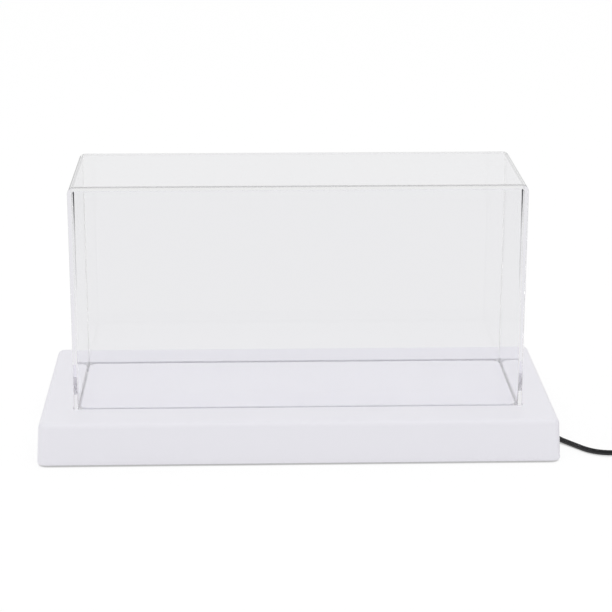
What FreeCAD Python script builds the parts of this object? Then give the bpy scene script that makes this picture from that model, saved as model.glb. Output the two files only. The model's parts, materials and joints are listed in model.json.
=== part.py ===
import FreeCAD, Part
import math
import os

# A lit display case: a clear lift-off cover stands in the groove of a white moulded base.
# A lit floor panel lies inside the groove, and a captive supply lead leaves the base at the back.
# Millimetres. +X is right, +Y is back, +Z is up. The origin is the middle of the footprint on the table.

# Cover: one sheet bent over the sides and the top, with flat panels cemented in at the front and back
cover_width = 300.0
cover_depth = 100.0
cover_height = 158.4
cover_wall = 3.0
bend_inner_radius = 2.0
cement_gap = 0.12
arris_round = 0.5

# Base shell: a tapered moulding with a rounded top edge
base_width = 346.0
base_depth = 164.0
base_height = 28.0
base_corner_radius = 6.5
base_lean = 1.7
base_top_round = 3.6
base_bottom_round = 0.6
base_wall = 2.5
deck_thickness = 2.5

# Groove for the cover's rim, and the floor panel that forms its inner wall
groove_depth = 6.5
groove_clearance = 0.8
groove_corner_radius = 1.5
rim_seat_gap = 0.1
trough_wall = 2.0
panel_thickness = 4.0
panel_corner_radius = 6.0
panel_arris = 0.5
panel_ledge = 5.0

# Bottom plate, its screws and the feet
plate_thickness = 3.0
plate_clearance = 0.4
screw_radius = 1.45
screw_length = 9.0
screw_head_radius = 2.8
screw_head_height = 1.5
screw_head_round = 0.5
screw_clearance = 0.05
counterbore_clearance = 0.4
counterbore_depth = 1.6
boss_radius = 4.0
boss_web = 1.6
boss_inset_x = 53.0
boss_inset_y = 16.0
foot_radius = 6.0
foot_stand = 1.2
foot_recess = 1.0
foot_clearance = 0.2
foot_round = 0.4
foot_inset_x = 19.0
foot_inset_y = 18.0

# Light boards on the bottom plate
board_length = 268.0
board_width = 10.0
board_thickness = 1.6
board_y = 22.0
board_clearance = 0.2
rail_width = 1.2
rail_height = 1.2
rail_end_inset = 16.0
led_size = (3.5, 2.8, 0.8)
led_count = 12
led_pitch = 22.0
resistor_size = (2.0, 1.25, 0.5)
resistor_count = 4
resistor_pitch = 66.0
resistor_offset = 2.6

# Supply lead where it passes through the back wall
lead_radius = 1.8
lead_inset = 33.0
lead_z = 9.0
lead_sleeve_clearance = 0.05
relief_neck_radius = 3.0
relief_flange_radius = 4.6
relief_flange_thickness = 1.6
relief_sleeve_radius = 3.6
relief_tip_radius = 2.6
relief_sleeve_length = 14.0
relief_ring_width = 1.6
relief_ring_depth = 0.7
relief_ring_count = 3
spot_face_clearance = 0.3
spot_face_depth = 0.5

# Clamp that holds the lead inside the base, and the wires beyond it
clamp_width = 17.0
clamp_length = 8.0
clamp_inset = 16.0
clamp_bar_height = 4.4
clamp_screw_radius = 1.2
clamp_screw_head_radius = 2.2
clamp_screw_head_height = 1.4
clamp_screw_length = 7.0
clamp_screw_x = 5.6
lead_end_inset = 26.0
wire_radius = 0.7
wire_spread = 1.0
supply_wire_start = 8.0
supply_wire_landing = 9.0
link_wire_inset = 8.0
link_wire_gap = 5.0
link_wire_drop = 6.0
link_wire_bow = 0.6
solder_inset = 2.6

# Free lead outside the base: points chosen by hand from the photographed line and the hidden way to it
lead_route = [
    (140.0, 113.6, 9.0),
    (152.6, 126.0, 6.8),
    (170.6, 125.6, 4.2),
    (182.4, 112.4, 2.4),
    (181.0, 90.0, 1.9),
    (176.6, 60.0, 1.9),
    (175.4, 24.0, 1.9),
    (175.2, -6.0, 1.9),
    (175.3, -27.5, 1.9),
    (175.6, -40.5, 1.9),
    (182.9, -50.8, 1.9),
    (197.0, -70.3, 2.1),
    (219.5, -72.6, 2.7),
    (241.0, -73.7, 2.7),
]

# Share of a run that each arc of a lead or wire takes up
arc_share = 0.45

# Coil of the put-away length, tied with a strap
coil_turns = 4.25
coil_outer_radius = 25.95
coil_pitch = 4.1
coil_layer_rise = 4.05
coil_spans_per_turn = 4
coil_gap_points_per_turn = 72
strap_width = 6.0
strap_thickness = 0.7
strap_side_gap = 0.6
strap_height_gap = 0.2
strap_round = 1.0
strap_turn = 225.0

# Hand switch on the lead
switch_width = 18.0
switch_length = 46.0
switch_height = 13.0
switch_corner_radius = 5.0
switch_edge_round = 2.0
switch_sleeve_length = 7.0
switch_sleeve_radius = 3.6
switch_sleeve_tip_radius = 2.7
switch_lead_depth = 4.0
switch_gap_from_coil = 24.0
rocker_width = 8.0
rocker_half_length = 7.3
rocker_crown = 3.8
rocker_rise = 1.2
rocker_skirt = 1.5
rocker_keel = 2.0
rocker_keel_half = 2.2
rocker_tilt = 9.0
rocker_clearance = 0.35
rocker_end_clearance = 1.1
trunnion_radius = 1.2
trunnion_reach = 1.4
trunnion_clearance = 0.05
pivot_height = 10.0
switch_screw_radius = 1.0
switch_screw_head_radius = 1.9
switch_screw_head_height = 1.2
switch_screw_length = 8.0
switch_screw_y = 16.0

# Plug at the lead's end
plug_gap_from_switch = 36.0
plug_side_step = 2.0
plug_width = 15.6
plug_height = 8.2
plug_length = 22.0
plug_round = 1.6
plug_grip_count = 4
plug_grip_pitch = 2.6
plug_grip_width = 1.1
plug_grip_depth = 0.4
plug_grip_margin = 2.4
plug_sleeve_length = 9.0
plug_sleeve_radius = 3.4
plug_sleeve_tip_radius = 2.6
plug_shell_width = 12.0
plug_shell_height = 4.5
plug_shell_length = 12.0
plug_shell_wall = 0.3
plug_shell_round = 0.6
plug_window = 2.2
plug_window_x = 2.6
plug_window_y = 6.0
plug_tongue_width = 10.8
plug_tongue_height = 1.9
plug_tongue_length = 11.0
plug_contact_width = 1.2
plug_contact_thickness = 0.25
plug_contact_length = 8.0
plug_contact_pitch = 2.5
plug_contact_count = 4

# Heights and outlines worked out from the sizes above
deck_top = foot_stand + base_height
deck_underside = deck_top - deck_thickness
plate_top = foot_stand + plate_thickness
groove_floor = deck_top - groove_depth
panel_seat = deck_top - panel_thickness
rim_z = groove_floor + rim_seat_gap
cover_top = rim_z + cover_height
bend_outer_radius = bend_inner_radius + cover_wall
groove_outer = (cover_width + 2 * groove_clearance, cover_depth + 2 * groove_clearance)
groove_width = cover_wall + 2 * groove_clearance
panel_size = (groove_outer[0] - 2 * groove_width, groove_outer[1] - 2 * groove_width)
window_size = (panel_size[0] - 2 * panel_ledge, panel_size[1] - 2 * panel_ledge)
boss_x = base_width / 2 - boss_inset_x
boss_y = base_depth / 2 - boss_inset_y
foot_x = base_width / 2 - foot_inset_x
foot_y = base_depth / 2 - foot_inset_y
board_top = plate_top + board_thickness
rail_length = board_length - 2 * rail_end_inset
lead_diameter = 2 * lead_radius
lead_x = base_width / 2 - lead_inset
clamp_y = base_depth / 2 - clamp_inset
lead_inner_end_y = base_depth / 2 - lead_end_inset
link_wire_x = link_wire_inset - board_length / 2


def vec(x, y, z):
    return FreeCAD.Vector(x, y, z)


def block(x, y, z):
    """Box between the low and high values of each axis."""
    size = [high - low for low, high in (x, y, z)]
    return Part.makeBox(size[0], size[1], size[2], vec(x[0], y[0], z[0]))


def rounded_outline(width, depth, radius, z):
    """Closed wire: a rectangle about the Z axis with rounded corners."""
    a = width / 2
    b = depth / 2
    corners = [(a - radius, b - radius, 0), (radius - a, b - radius, 90),
               (radius - a, radius - b, 180), (a - radius, radius - b, 270)]
    edges = []
    last = None
    for x, y, start in corners:
        points = []
        for step in (0, 45, 90):
            angle = math.radians(start + step)
            points.append(vec(x + radius * math.cos(angle), y + radius * math.sin(angle), z))
        if last:
            edges.append(Part.LineSegment(last, points[0]).toShape())
        edges.append(Part.Arc(*points).toShape())
        last = points[2]
    edges.append(Part.LineSegment(last, edges[0].Vertexes[0].Point).toShape())
    return Part.Wire(edges)


def slab(size, radius, low, high):
    """Upright prism on a rounded rectangle."""
    face = Part.Face(rounded_outline(size[0], size[1], radius, low))
    return face.extrude(vec(0, 0, high - low))


def skirt_inset(z):
    """How far the base's sides lean in at this height."""
    return base_lean * (z - foot_stand) / base_height


def tapered_slab(margin, low, high):
    """The base's leaning outline, a margin inside its faces, between two heights."""
    outlines = []
    for z in (low, high):
        inset = 2 * (margin + skirt_inset(z))
        radius = base_corner_radius - inset / 2
        outlines.append(rounded_outline(base_width - inset, base_depth - inset, radius, z))
    return Part.makeLoft(outlines, True, True)


def edges_at(shape, z):
    """Edges that lie wholly at one height."""
    return [edge for edge in shape.Edges if all(abs(v.Z - z) < 1e-4 for v in edge.Vertexes)]


def post(radius, low, high, x, y):
    return Part.makeCylinder(radius, high - low, vec(x, y, low))


def turned(profile, place, axis):
    """Solid turned from (radius, length) points about an axis through a place."""
    points = [vec(radius, 0, length) for radius, length in profile]
    face = Part.Face(Part.makePolygon(points + points[:1]))
    solid = face.revolve(vec(0, 0, 0), vec(0, 0, 1), 360)
    solid.Placement = FreeCAD.Placement(place, FreeCAD.Rotation(vec(0, 0, 1), axis))
    return solid


def mirrored_places(x, y):
    return [(sx * x, sy * y) for sx in (-1, 1) for sy in (-1, 1)]


def boss_places():
    return mirrored_places(boss_x, boss_y) + [(0, -boss_y), (0, boss_y)]


def fused(shapes):
    return shapes[0].multiFuse(shapes[1:]).removeSplitter()


def rounded_route(points):
    """Straight runs joined by tangent arcs as large as the runs allow: edges and arc radii."""
    edges = []
    radii = []
    start = points[0]
    for before, corner, after in zip(points, points[1:], points[2:]):
        back = before - corner
        ahead = after - corner
        tangent = arc_share * min(back.Length, ahead.Length)
        half_turn = (math.pi - back.getAngle(ahead)) / 2
        radius = tangent / math.tan(half_turn)
        back.normalize()
        ahead.normalize()
        inward = (back + ahead).normalize()
        arc_start = corner + back * tangent
        arc_end = corner + ahead * tangent
        arc_middle = corner + inward * (radius / math.cos(half_turn) - radius)
        edges.append(Part.LineSegment(start, arc_start).toShape())
        edges.append(Part.Arc(arc_start, arc_middle, arc_end).toShape())
        radii.append(radius)
        start = arc_end
    edges.append(Part.LineSegment(start, points[-1]).toShape())
    return edges, radii


def tube(name, edges, radius):
    """Round tube along tangent edges, with its volume set against section times length."""
    path = Part.Wire(edges)
    start = edges[0].Vertexes[0].Point
    heading = edges[0].tangentAt(edges[0].FirstParameter)
    ring = Part.Wire(Part.Circle(start, heading, radius).toShape())
    solid = path.makePipeShell([ring], True, False)
    ideal = math.pi * radius ** 2 * path.Length
    print("%s: length %.1f, volume over section times length %.4f" % (name, path.Length, solid.Volume / ideal))
    return solid


def routed_tube(name, points, radius):
    """Tube along the rounded route through some points, with its arcs printed in diameters."""
    edges, radii = rounded_route(points)
    print(name + " radii in diameters: " + ", ".join("%.1f" % (arc / (2 * radius)) for arc in radii))
    return tube(name, edges, radius)


def tangent_arc(start, heading, end):
    """Arc that leaves the start along its heading and passes through the end."""
    chord = end - start
    along = FreeCAD.Vector(chord).normalize()
    bulge = heading - along * heading.dot(along)
    if bulge.Length < 1e-6:
        return Part.LineSegment(start, end).toShape()
    sagitta = chord.Length / 2 * math.tan(heading.getAngle(chord) / 2)
    middle = (start + end) * 0.5 + bulge.normalize() * sagitta
    return Part.Arc(start, middle, end).toShape()


def biarc(start, heading, end, end_heading):
    """Two arcs that join two places with given headings."""
    chord = end - start
    total = heading + end_heading
    spread = 2 * (1 - heading.dot(end_heading))
    reach = (math.sqrt(chord.dot(total) ** 2 + spread * chord.dot(chord)) - chord.dot(total)) / spread
    joint = (start + end + (heading - end_heading) * reach) * 0.5
    first = tangent_arc(start, heading, joint)
    joint_heading = first.tangentAt(first.LastParameter)
    return [first, tangent_arc(joint, joint_heading, end)]


def cover_wrap():
    """Sheet bent over the sides and the top."""
    def bent(width, top, radius):
        half = width / 2
        diagonal = radius * (1 - math.sqrt(0.5))
        left = Part.Arc(vec(-half, 0, top - radius), vec(diagonal - half, 0, top - diagonal),
                        vec(radius - half, 0, top))
        right = Part.Arc(vec(half - radius, 0, top), vec(half - diagonal, 0, top - diagonal),
                         vec(half, 0, top - radius))
        lines = [(vec(-half, 0, rim_z), vec(-half, 0, top - radius)),
                 (vec(radius - half, 0, top), vec(half - radius, 0, top)),
                 (vec(half, 0, top - radius), vec(half, 0, rim_z)),
                 (vec(half, 0, rim_z), vec(-half, 0, rim_z))]
        segments = [Part.LineSegment(*line).toShape() for line in lines]
        wire = Part.Wire([segments[0], left.toShape(), segments[1], right.toShape(), segments[2], segments[3]])
        face = Part.Face(wire)
        face.translate(vec(0, -cover_depth / 2, 0))
        return face.extrude(vec(0, cover_depth, 0))

    outside = bent(cover_width, cover_top, bend_outer_radius)
    inside = bent(cover_width - 2 * cover_wall, cover_top - cover_wall, bend_inner_radius)
    wrap = outside.cut(inside)
    cut_edges = [edge for edge in wrap.Edges if on_cut_face(edge)]
    return wrap.makeFillet(arris_round, cut_edges)


def on_cut_face(edge):
    """Whether an edge runs along the sheet's front or back cut face, clear of the rim."""
    outward = all(abs(abs(v.Y) - cover_depth / 2) < 1e-4 for v in edge.Vertexes)
    return outward and any(v.Z > rim_z + 1e-4 for v in edge.Vertexes)


def cover_panel(side):
    """Flat panel cemented inside the wrap, flush with its edge; side -1 is the front."""
    width = cover_width - 2 * (cover_wall + cement_gap)
    top = cover_top - cover_wall - cement_gap
    outer_y = side * cover_depth / 2
    y = sorted((outer_y, outer_y - side * cover_wall))
    panel = block((-width / 2, width / 2), y, (rim_z, top))
    corners = [edge for edge in panel.Edges
               if abs(edge.Length - cover_wall) < 1e-4 and abs(edge.CenterOfMass.z - top) < 1e-4]
    panel = panel.makeFillet(bend_inner_radius - cement_gap / 2, corners)
    cut_edges = [edge for edge in panel.Edges if on_cut_face(edge)]
    return panel.makeFillet(arris_round, cut_edges)


def base_shell():
    """White moulding: skirt, deck, groove trough, ledge for the floor panel, and screw bosses."""
    outer = tapered_slab(0, foot_stand, deck_top)
    outer = outer.makeFillet(base_top_round, edges_at(outer, deck_top))
    outer = outer.makeFillet(base_bottom_round, edges_at(outer, foot_stand))
    cavity = tapered_slab(base_wall, foot_stand, deck_underside)
    shell = outer.cut(cavity)

    trough_size = [side + 2 * trough_wall for side in groove_outer]
    trough = slab(trough_size, groove_corner_radius + trough_wall, groove_floor - trough_wall, deck_underside)
    additions = [shell, trough]
    for x, y in boss_places():
        additions.append(post(boss_radius, plate_top, deck_underside, x, y))
        wall_y = math.copysign(base_depth / 2 - (base_wall + base_lean) / 2, y)
        web_x = (x - boss_web / 2, x + boss_web / 2)
        additions.append(block(web_x, sorted((y, wall_y)), (plate_top + boss_radius, deck_underside)))
    shell = fused(additions)

    shell = shell.cut(slab(groove_outer, groove_corner_radius, groove_floor, deck_top + 1))
    ledge = slab(panel_size, panel_corner_radius, groove_floor - trough_wall, panel_seat)
    shell = fused([shell, ledge])
    shell = shell.cut(slab(window_size, panel_corner_radius, 0, deck_top))
    for x, y in boss_places():
        shell = shell.cut(post(screw_radius + screw_clearance, plate_top, plate_top + screw_length, x, y))
    return shell.cut(lead_wall_cut())


def relief_seat_y():
    """The flat spot face, outside on the back wall, that the lead's strain relief seats on."""
    return base_depth / 2 - skirt_inset(lead_z + relief_flange_radius) - spot_face_depth


def relief_inner_y():
    """The matching flat face inside the wall."""
    return base_depth / 2 - base_wall - skirt_inset(lead_z - relief_flange_radius) + spot_face_depth


def lead_wall_cut():
    """Hole for the strain relief's neck, with a spot face on each side of the wall."""
    hole_y = base_depth / 2 - 2 * base_wall
    hole = Part.makeCylinder(relief_neck_radius + lead_sleeve_clearance, 3 * base_wall,
                             vec(lead_x, hole_y, lead_z), vec(0, 1, 0))
    face_radius = relief_flange_radius + spot_face_clearance
    outside = Part.makeCylinder(face_radius, base_wall, vec(lead_x, relief_seat_y(), lead_z), vec(0, 1, 0))
    inside = Part.makeCylinder(face_radius, base_wall, vec(lead_x, relief_inner_y(), lead_z), vec(0, -1, 0))
    return fused([hole, outside, inside])


def floor_panel():
    """Panel on the ledge, level with the deck, with its upper arris eased."""
    panel = slab(panel_size, panel_corner_radius, panel_seat, deck_top)
    return panel.makeChamfer(panel_arris, edges_at(panel, deck_top))


def bottom_plate():
    """Plate inside the skirt, with screw and foot recesses, board rails and the clamp's saddle."""
    inset = 2 * (base_wall + plate_clearance)
    plate = slab((base_width - inset, base_depth - inset), base_corner_radius - inset / 2, foot_stand, plate_top)
    additions = [plate]
    rail_step = board_width / 2 + board_clearance
    for side in (-1, 1):
        for low in (side * board_y + rail_step, side * board_y - rail_step - rail_width):
            x = (-rail_length / 2, rail_length / 2)
            additions.append(block(x, (low, low + rail_width), (plate_top, plate_top + rail_height)))
    additions.append(clamp_block(plate_top, lead_z))
    plate = fused(additions)
    for x, y in boss_places():
        plate = plate.cut(post(screw_radius + counterbore_clearance, 0, plate_top, x, y))
        head_radius = screw_head_radius + counterbore_clearance
        plate = plate.cut(post(head_radius, 0, foot_stand + counterbore_depth, x, y))
    for x, y in mirrored_places(foot_x, foot_y):
        plate = plate.cut(post(foot_radius + foot_clearance, 0, foot_stand + foot_recess, x, y))
    for x in clamp_screw_places():
        plate = plate.cut(post(clamp_screw_radius + screw_clearance, plate_top, lead_z, x, clamp_y))
    return plate


def clamp_screw_places():
    return (lead_x - clamp_screw_x, lead_x + clamp_screw_x)


def clamp_block(low, high):
    """Block under or over the lead, hollowed to the lead's round."""
    x = (lead_x - clamp_width / 2, lead_x + clamp_width / 2)
    y = (clamp_y - clamp_length / 2, clamp_y + clamp_length / 2)
    hollow = Part.makeCylinder(lead_radius + lead_sleeve_clearance, 2 * clamp_length,
                               vec(lead_x, clamp_y - clamp_length, lead_z), vec(0, 1, 0))
    return block(x, y, (low, high)).cut(hollow)


def clamp_bar():
    bar = clamp_block(lead_z, lead_z + clamp_bar_height)
    for x in clamp_screw_places():
        bar = bar.cut(post(clamp_screw_radius + screw_clearance, lead_z, lead_z + clamp_bar_height, x, clamp_y))
    return bar


def screw(head_radius, head_height, radius, length, seat, upward):
    """Pan-head screw whose head seats on a place, with its shank going up or down."""
    head = Part.makeCylinder(head_radius, head_height, vec(0, 0, -head_height))
    head = head.makeFillet(screw_head_round, edges_at(head, -head_height))
    solid = fused([head, Part.makeCylinder(radius, length)])
    if not upward:
        solid.rotate(vec(0, 0, 0), vec(1, 0, 0), 180)
    solid.translate(seat)
    return solid


def plate_screws():
    seat_z = foot_stand + counterbore_depth
    return Part.makeCompound([screw(screw_head_radius, screw_head_height, screw_radius, screw_length,
                                    vec(x, y, seat_z), True) for x, y in boss_places()])


def clamp_screws():
    seat_z = lead_z + clamp_bar_height
    return Part.makeCompound([screw(clamp_screw_head_radius, clamp_screw_head_height, clamp_screw_radius,
                                    clamp_screw_length, vec(x, clamp_y, seat_z), False)
                              for x in clamp_screw_places()])


def rubber_feet():
    feet = []
    for x, y in mirrored_places(foot_x, foot_y):
        foot = post(foot_radius, 0, foot_stand + foot_recess, x, y)
        feet.append(foot.makeFillet(foot_round, edges_at(foot, 0)))
    return Part.makeCompound(feet)


def light_board(side):
    """Strip board between its rails; side -1 is the front."""
    y = (side * board_y - board_width / 2, side * board_y + board_width / 2)
    return block((-board_length / 2, board_length / 2), y, (plate_top, board_top))


def board_parts(size, count, pitch, offset):
    """A row of like small parts along the top of each board."""
    parts = []
    for side in (-1, 1):
        y = side * (board_y + offset)
        for index in range(count):
            x = (index - (count - 1) / 2) * pitch
            parts.append(block((x - size[0] / 2, x + size[0] / 2), (y - size[1] / 2, y + size[1] / 2),
                               (board_top, board_top + size[2])))
    return Part.makeCompound(parts)


def strain_relief():
    """Turned rubber sleeve: flange inside, neck through the wall, collar and ringed taper outside."""
    bore = lead_radius + lead_sleeve_clearance
    seat = relief_seat_y()
    inner = relief_inner_y()
    collar_end = seat + relief_flange_thickness
    tip = collar_end + relief_sleeve_length
    profile = [(bore, inner - relief_flange_thickness), (relief_flange_radius, inner - relief_flange_thickness),
               (relief_flange_radius, inner), (relief_neck_radius, inner), (relief_neck_radius, seat),
               (relief_flange_radius, seat), (relief_flange_radius, collar_end)]
    slope = (relief_tip_radius - relief_sleeve_radius) / relief_sleeve_length
    pitch = relief_sleeve_length / (relief_ring_count + 1)
    profile.append((relief_sleeve_radius, collar_end))
    for index in range(relief_ring_count):
        start = collar_end + (index + 1) * pitch - relief_ring_width
        for y, depth in ((start, 0), (start, relief_ring_depth),
                         (start + relief_ring_width, relief_ring_depth), (start + relief_ring_width, 0)):
            profile.append((relief_sleeve_radius + slope * (y - collar_end) - depth, y))
    profile += [(relief_tip_radius, tip), (bore, tip)]
    return turned(profile, vec(lead_x, 0, lead_z), vec(0, 1, 0))


def relief_tip_y():
    return relief_seat_y() + relief_flange_thickness + relief_sleeve_length


def lead_inner():
    """The lead from its cut end inside the base to the tip of the strain relief."""
    return Part.makeCylinder(lead_radius, relief_tip_y() - lead_inner_end_y,
                             vec(lead_x, lead_inner_end_y, lead_z), vec(0, 1, 0))


def supply_wire(name, side):
    """Core from the lead's cut end down to the rear board's solder pad; side -1 is the left one."""
    pad_x = board_length / 2 - solder_inset + side * wire_spread
    pad_y = board_y + board_width / 2
    pad_z = board_top + wire_radius
    x = lead_x + side * wire_spread
    points = [vec(x, lead_inner_end_y, lead_z), vec(x, lead_inner_end_y - supply_wire_start, lead_z),
              vec(pad_x, pad_y + supply_wire_landing, pad_z), vec(pad_x, pad_y - solder_inset, pad_z)]
    return routed_tube(name, points, wire_radius)


def link_wire(name, side):
    """Core that joins the two boards near their left ends, lying on the plate between them."""
    x = link_wire_x + side * link_wire_gap / 2
    pad_y = board_y - board_width / 2 + solder_inset
    pad_z = board_top + wire_radius
    bend_y = pad_y - link_wire_drop
    low_x = x + link_wire_bow
    low_y = bend_y - link_wire_drop
    low_z = plate_top + 2 * wire_radius
    points = [vec(x, pad_y, pad_z), vec(x, bend_y, pad_z), vec(low_x, low_y, low_z),
              vec(low_x, -low_y, low_z), vec(x, -bend_y, pad_z), vec(x, -pad_y, pad_z)]
    return routed_tube(name, points, wire_radius)


def free_lead():
    """The lead from the strain relief to the coil."""
    points = [vec(lead_x, relief_tip_y(), lead_z)] + [vec(*point) for point in lead_route]
    return routed_tube("free lead", points, lead_radius)


def route_end():
    """Where the free lead ends, and its level heading there."""
    before, last = [vec(*point) for point in lead_route[-2:]]
    return last, (last - before).normalize()


class Coil:
    """Loops that spiral in on the lower layer, climb at the reversal, and spiral out on the upper."""

    def __init__(self):
        self.entry, self.heading = route_end()
        side = vec(-self.heading.y, self.heading.x, 0)
        self.start = self.entry + self.heading * lead_diameter
        self.centre = self.start + side * coil_outer_radius
        self.start_angle = math.atan2(-side.y, -side.x)
        self.total = coil_turns * 2 * math.pi
        self.reversal = self.total / 2

    def radius(self, angle):
        return coil_outer_radius - coil_pitch * (self.reversal - abs(angle - self.reversal)) / (2 * math.pi)

    def place(self, angle):
        climb = min(max((angle - self.reversal) / math.pi + 0.5, 0), 1)
        rise = coil_layer_rise * climb * climb * (3 - 2 * climb)
        turn = self.start_angle + angle
        radius = self.radius(angle)
        return self.centre + vec(radius * math.cos(turn), radius * math.sin(turn), rise)

    def tangent(self, angle):
        if angle <= 0:
            return FreeCAD.Vector(self.heading)
        if angle >= self.total:
            turn = self.start_angle + angle
            return vec(-math.sin(turn), math.cos(turn), 0)
        step = 1e-4
        return (self.place(angle + step) - self.place(angle - step)).normalize()

    def edges(self):
        count = round(coil_turns * coil_spans_per_turn)
        angles = [self.total * index / count for index in range(count + 1)]
        edges = [Part.LineSegment(self.entry, self.start).toShape()]
        for low, high in zip(angles, angles[1:]):
            edges += biarc(self.place(low), self.tangent(low), self.place(high), self.tangent(high))
        edges.append(Part.LineSegment(self.place(self.total), self.exit()).toShape())
        return edges

    def exit(self):
        return self.place(self.total) + self.tangent(self.total) * lead_diameter

    def least_gap(self):
        """Least gap between loops, on points along the centre line."""
        count = round(coil_turns * coil_gap_points_per_turn)
        half_turn = coil_gap_points_per_turn // 2
        points = [self.place(self.total * index / count) for index in range(count + 1)]
        gaps = [(a - b).Length for i, a in enumerate(points) for b in points[i + half_turn:]]
        return min(gaps) - lead_diameter


def lead_coil(coil):
    print("coil least gap to itself: %.2f" % coil.least_gap())
    return tube("coil", coil.edges(), lead_radius)


def coil_strap(coil):
    """Flat strap round the bundle of loops."""
    angles = [math.radians(strap_turn) + 2 * math.pi * turn for turn in range(int(coil_turns))]
    radii = [coil.radius(angle) for angle in angles]
    reach = lead_radius + strap_side_gap
    width = max(radii) - min(radii) + 2 * reach
    height = coil_layer_rise + lead_diameter + 2 * strap_height_gap
    outside = slab((width + 2 * strap_thickness, height + 2 * strap_thickness),
                   strap_round + strap_thickness, -strap_width / 2, strap_width / 2)
    inside = slab((width, height), strap_round, -strap_width, strap_width)
    band = outside.cut(inside)
    band.rotate(vec(0, 0, 0), vec(1, 0, 0), 90)
    turn = coil.start_angle + angles[0]
    band.rotate(vec(0, 0, 0), vec(0, 0, 1), math.degrees(turn))
    middle = (max(radii) + min(radii)) / 2
    band.translate(coil.centre + vec(middle * math.cos(turn), middle * math.sin(turn), coil_layer_rise / 2))
    return band


def switch_place(coil):
    """The switch's near end on the lead's axis, a short way past the coil."""
    end = coil.exit()
    heading = coil.tangent(coil.total)
    return vec(end.x + heading.x * switch_gap_from_coil / 2, end.y + switch_gap_from_coil, switch_height / 2)


def switch_lead(coil):
    """The lead from the coil to the switch."""
    end = coil.exit()
    near = switch_place(coil)
    run = switch_gap_from_coil / 3
    points = [end, end + coil.tangent(coil.total) * run, near - vec(0, run, 0), near]
    return routed_tube("lead to switch", points, lead_radius)


def cord_sleeve(length, root_radius, tip_radius):
    """Tapered collar on the lead's axis, from its tip at the origin along +Y."""
    return Part.makeCone(tip_radius, root_radius, length, vec(0, 0, 0), vec(0, 1, 0))


def switch_block():
    """The switch's outer form about the lead's axis, its near sleeve tip at the origin."""
    body = slab((switch_width, switch_length), switch_corner_radius, -switch_height / 2, switch_height / 2)
    body = body.makeFillet(switch_edge_round, edges_at(body, switch_height / 2) + edges_at(body, -switch_height / 2))
    middle = switch_sleeve_length + switch_length / 2
    body.translate(vec(0, middle, 0))
    overlap = switch_edge_round
    near = cord_sleeve(switch_sleeve_length + overlap, switch_sleeve_radius, switch_sleeve_tip_radius)
    far = near.mirror(vec(0, middle, 0), vec(0, 1, 0))
    return fused([body, near, far])


def switch_span():
    return switch_length + 2 * switch_sleeve_length


def switch_case(coil, upper):
    """One half of the switch's case, split at the lead's axis."""
    middle = switch_span() / 2
    reach = switch_span()
    z = (0, reach) if upper else (-reach, 0)
    case = switch_block().common(block((-reach, reach), (-reach, 2 * reach), z))
    for x, y in mirrored_places(0, switch_screw_y):
        high = switch_screw_length - switch_height / 2
        case = case.cut(post(switch_screw_radius + screw_clearance, -switch_height, high, x, middle + y))
        head_top = switch_screw_head_height + counterbore_clearance - switch_height / 2
        head_radius = switch_screw_head_radius + counterbore_clearance
        case = case.cut(post(head_radius, -switch_height, head_top, x, middle + y))
    if upper:
        half_width = rocker_width / 2 + rocker_clearance
        half_length = rocker_half_length + rocker_end_clearance
        well = block((-half_width, half_width), (middle - half_length, middle + half_length), (0, reach))
        pivot_z = pivot_height - switch_height / 2
        hole_reach = rocker_width / 2 + trunnion_reach + rocker_clearance
        hole = Part.makeCylinder(trunnion_radius + trunnion_clearance, 2 * hole_reach,
                                 vec(-hole_reach, middle, pivot_z), vec(1, 0, 0))
        case = case.cut(fused([well, hole]))
    case.translate(switch_place(coil))
    return case


def switch_pivot(coil):
    return switch_place(coil) + vec(0, switch_span() / 2, pivot_height - switch_height / 2)


def switch_rocker(coil):
    """Rocker with a shallow crown in the middle, turned on its trunnions to its off side."""
    side = [(-rocker_half_length, rocker_crown + rocker_rise), (0, rocker_crown),
            (rocker_half_length, rocker_crown + rocker_rise), (rocker_half_length, rocker_skirt),
            (rocker_keel_half, -rocker_keel), (-rocker_keel_half, -rocker_keel),
            (-rocker_half_length, rocker_skirt)]
    points = [vec(-rocker_width / 2, y, z) for y, z in side]
    body = Part.Face(Part.makePolygon(points + points[:1])).extrude(vec(rocker_width, 0, 0))
    reach = rocker_width / 2 + trunnion_reach
    trunnion = Part.makeCylinder(trunnion_radius, 2 * reach, vec(-reach, 0, 0), vec(1, 0, 0))
    rocker = fused([body, trunnion])
    rocker.rotate(vec(0, 0, 0), vec(1, 0, 0), -rocker_tilt)
    rocker.translate(switch_pivot(coil))
    return rocker


def switch_screws(coil):
    seat = switch_place(coil)
    middle = switch_span() / 2
    head_top = switch_screw_head_height + counterbore_clearance - switch_height / 2
    length = switch_screw_length - switch_screw_head_height - counterbore_clearance
    return Part.makeCompound([screw(switch_screw_head_radius, switch_screw_head_height, switch_screw_radius,
                                    length, seat + vec(0, middle + y, head_top), True)
                              for y in (-switch_screw_y, switch_screw_y)])


def plug_place(coil):
    """The plug's sleeve tip on the lead's axis."""
    start = switch_place(coil)
    return vec(start.x + plug_side_step, start.y + switch_span() + plug_gap_from_switch, plug_height / 2)


def plug_lead(coil):
    """The lead from the switch to the plug."""
    start = switch_place(coil) + vec(0, switch_span(), 0)
    end = plug_place(coil)
    step = vec(0, plug_gap_from_switch / 3, 0)
    return routed_tube("lead to plug", [start, start + step, end - step, end], lead_radius)


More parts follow.
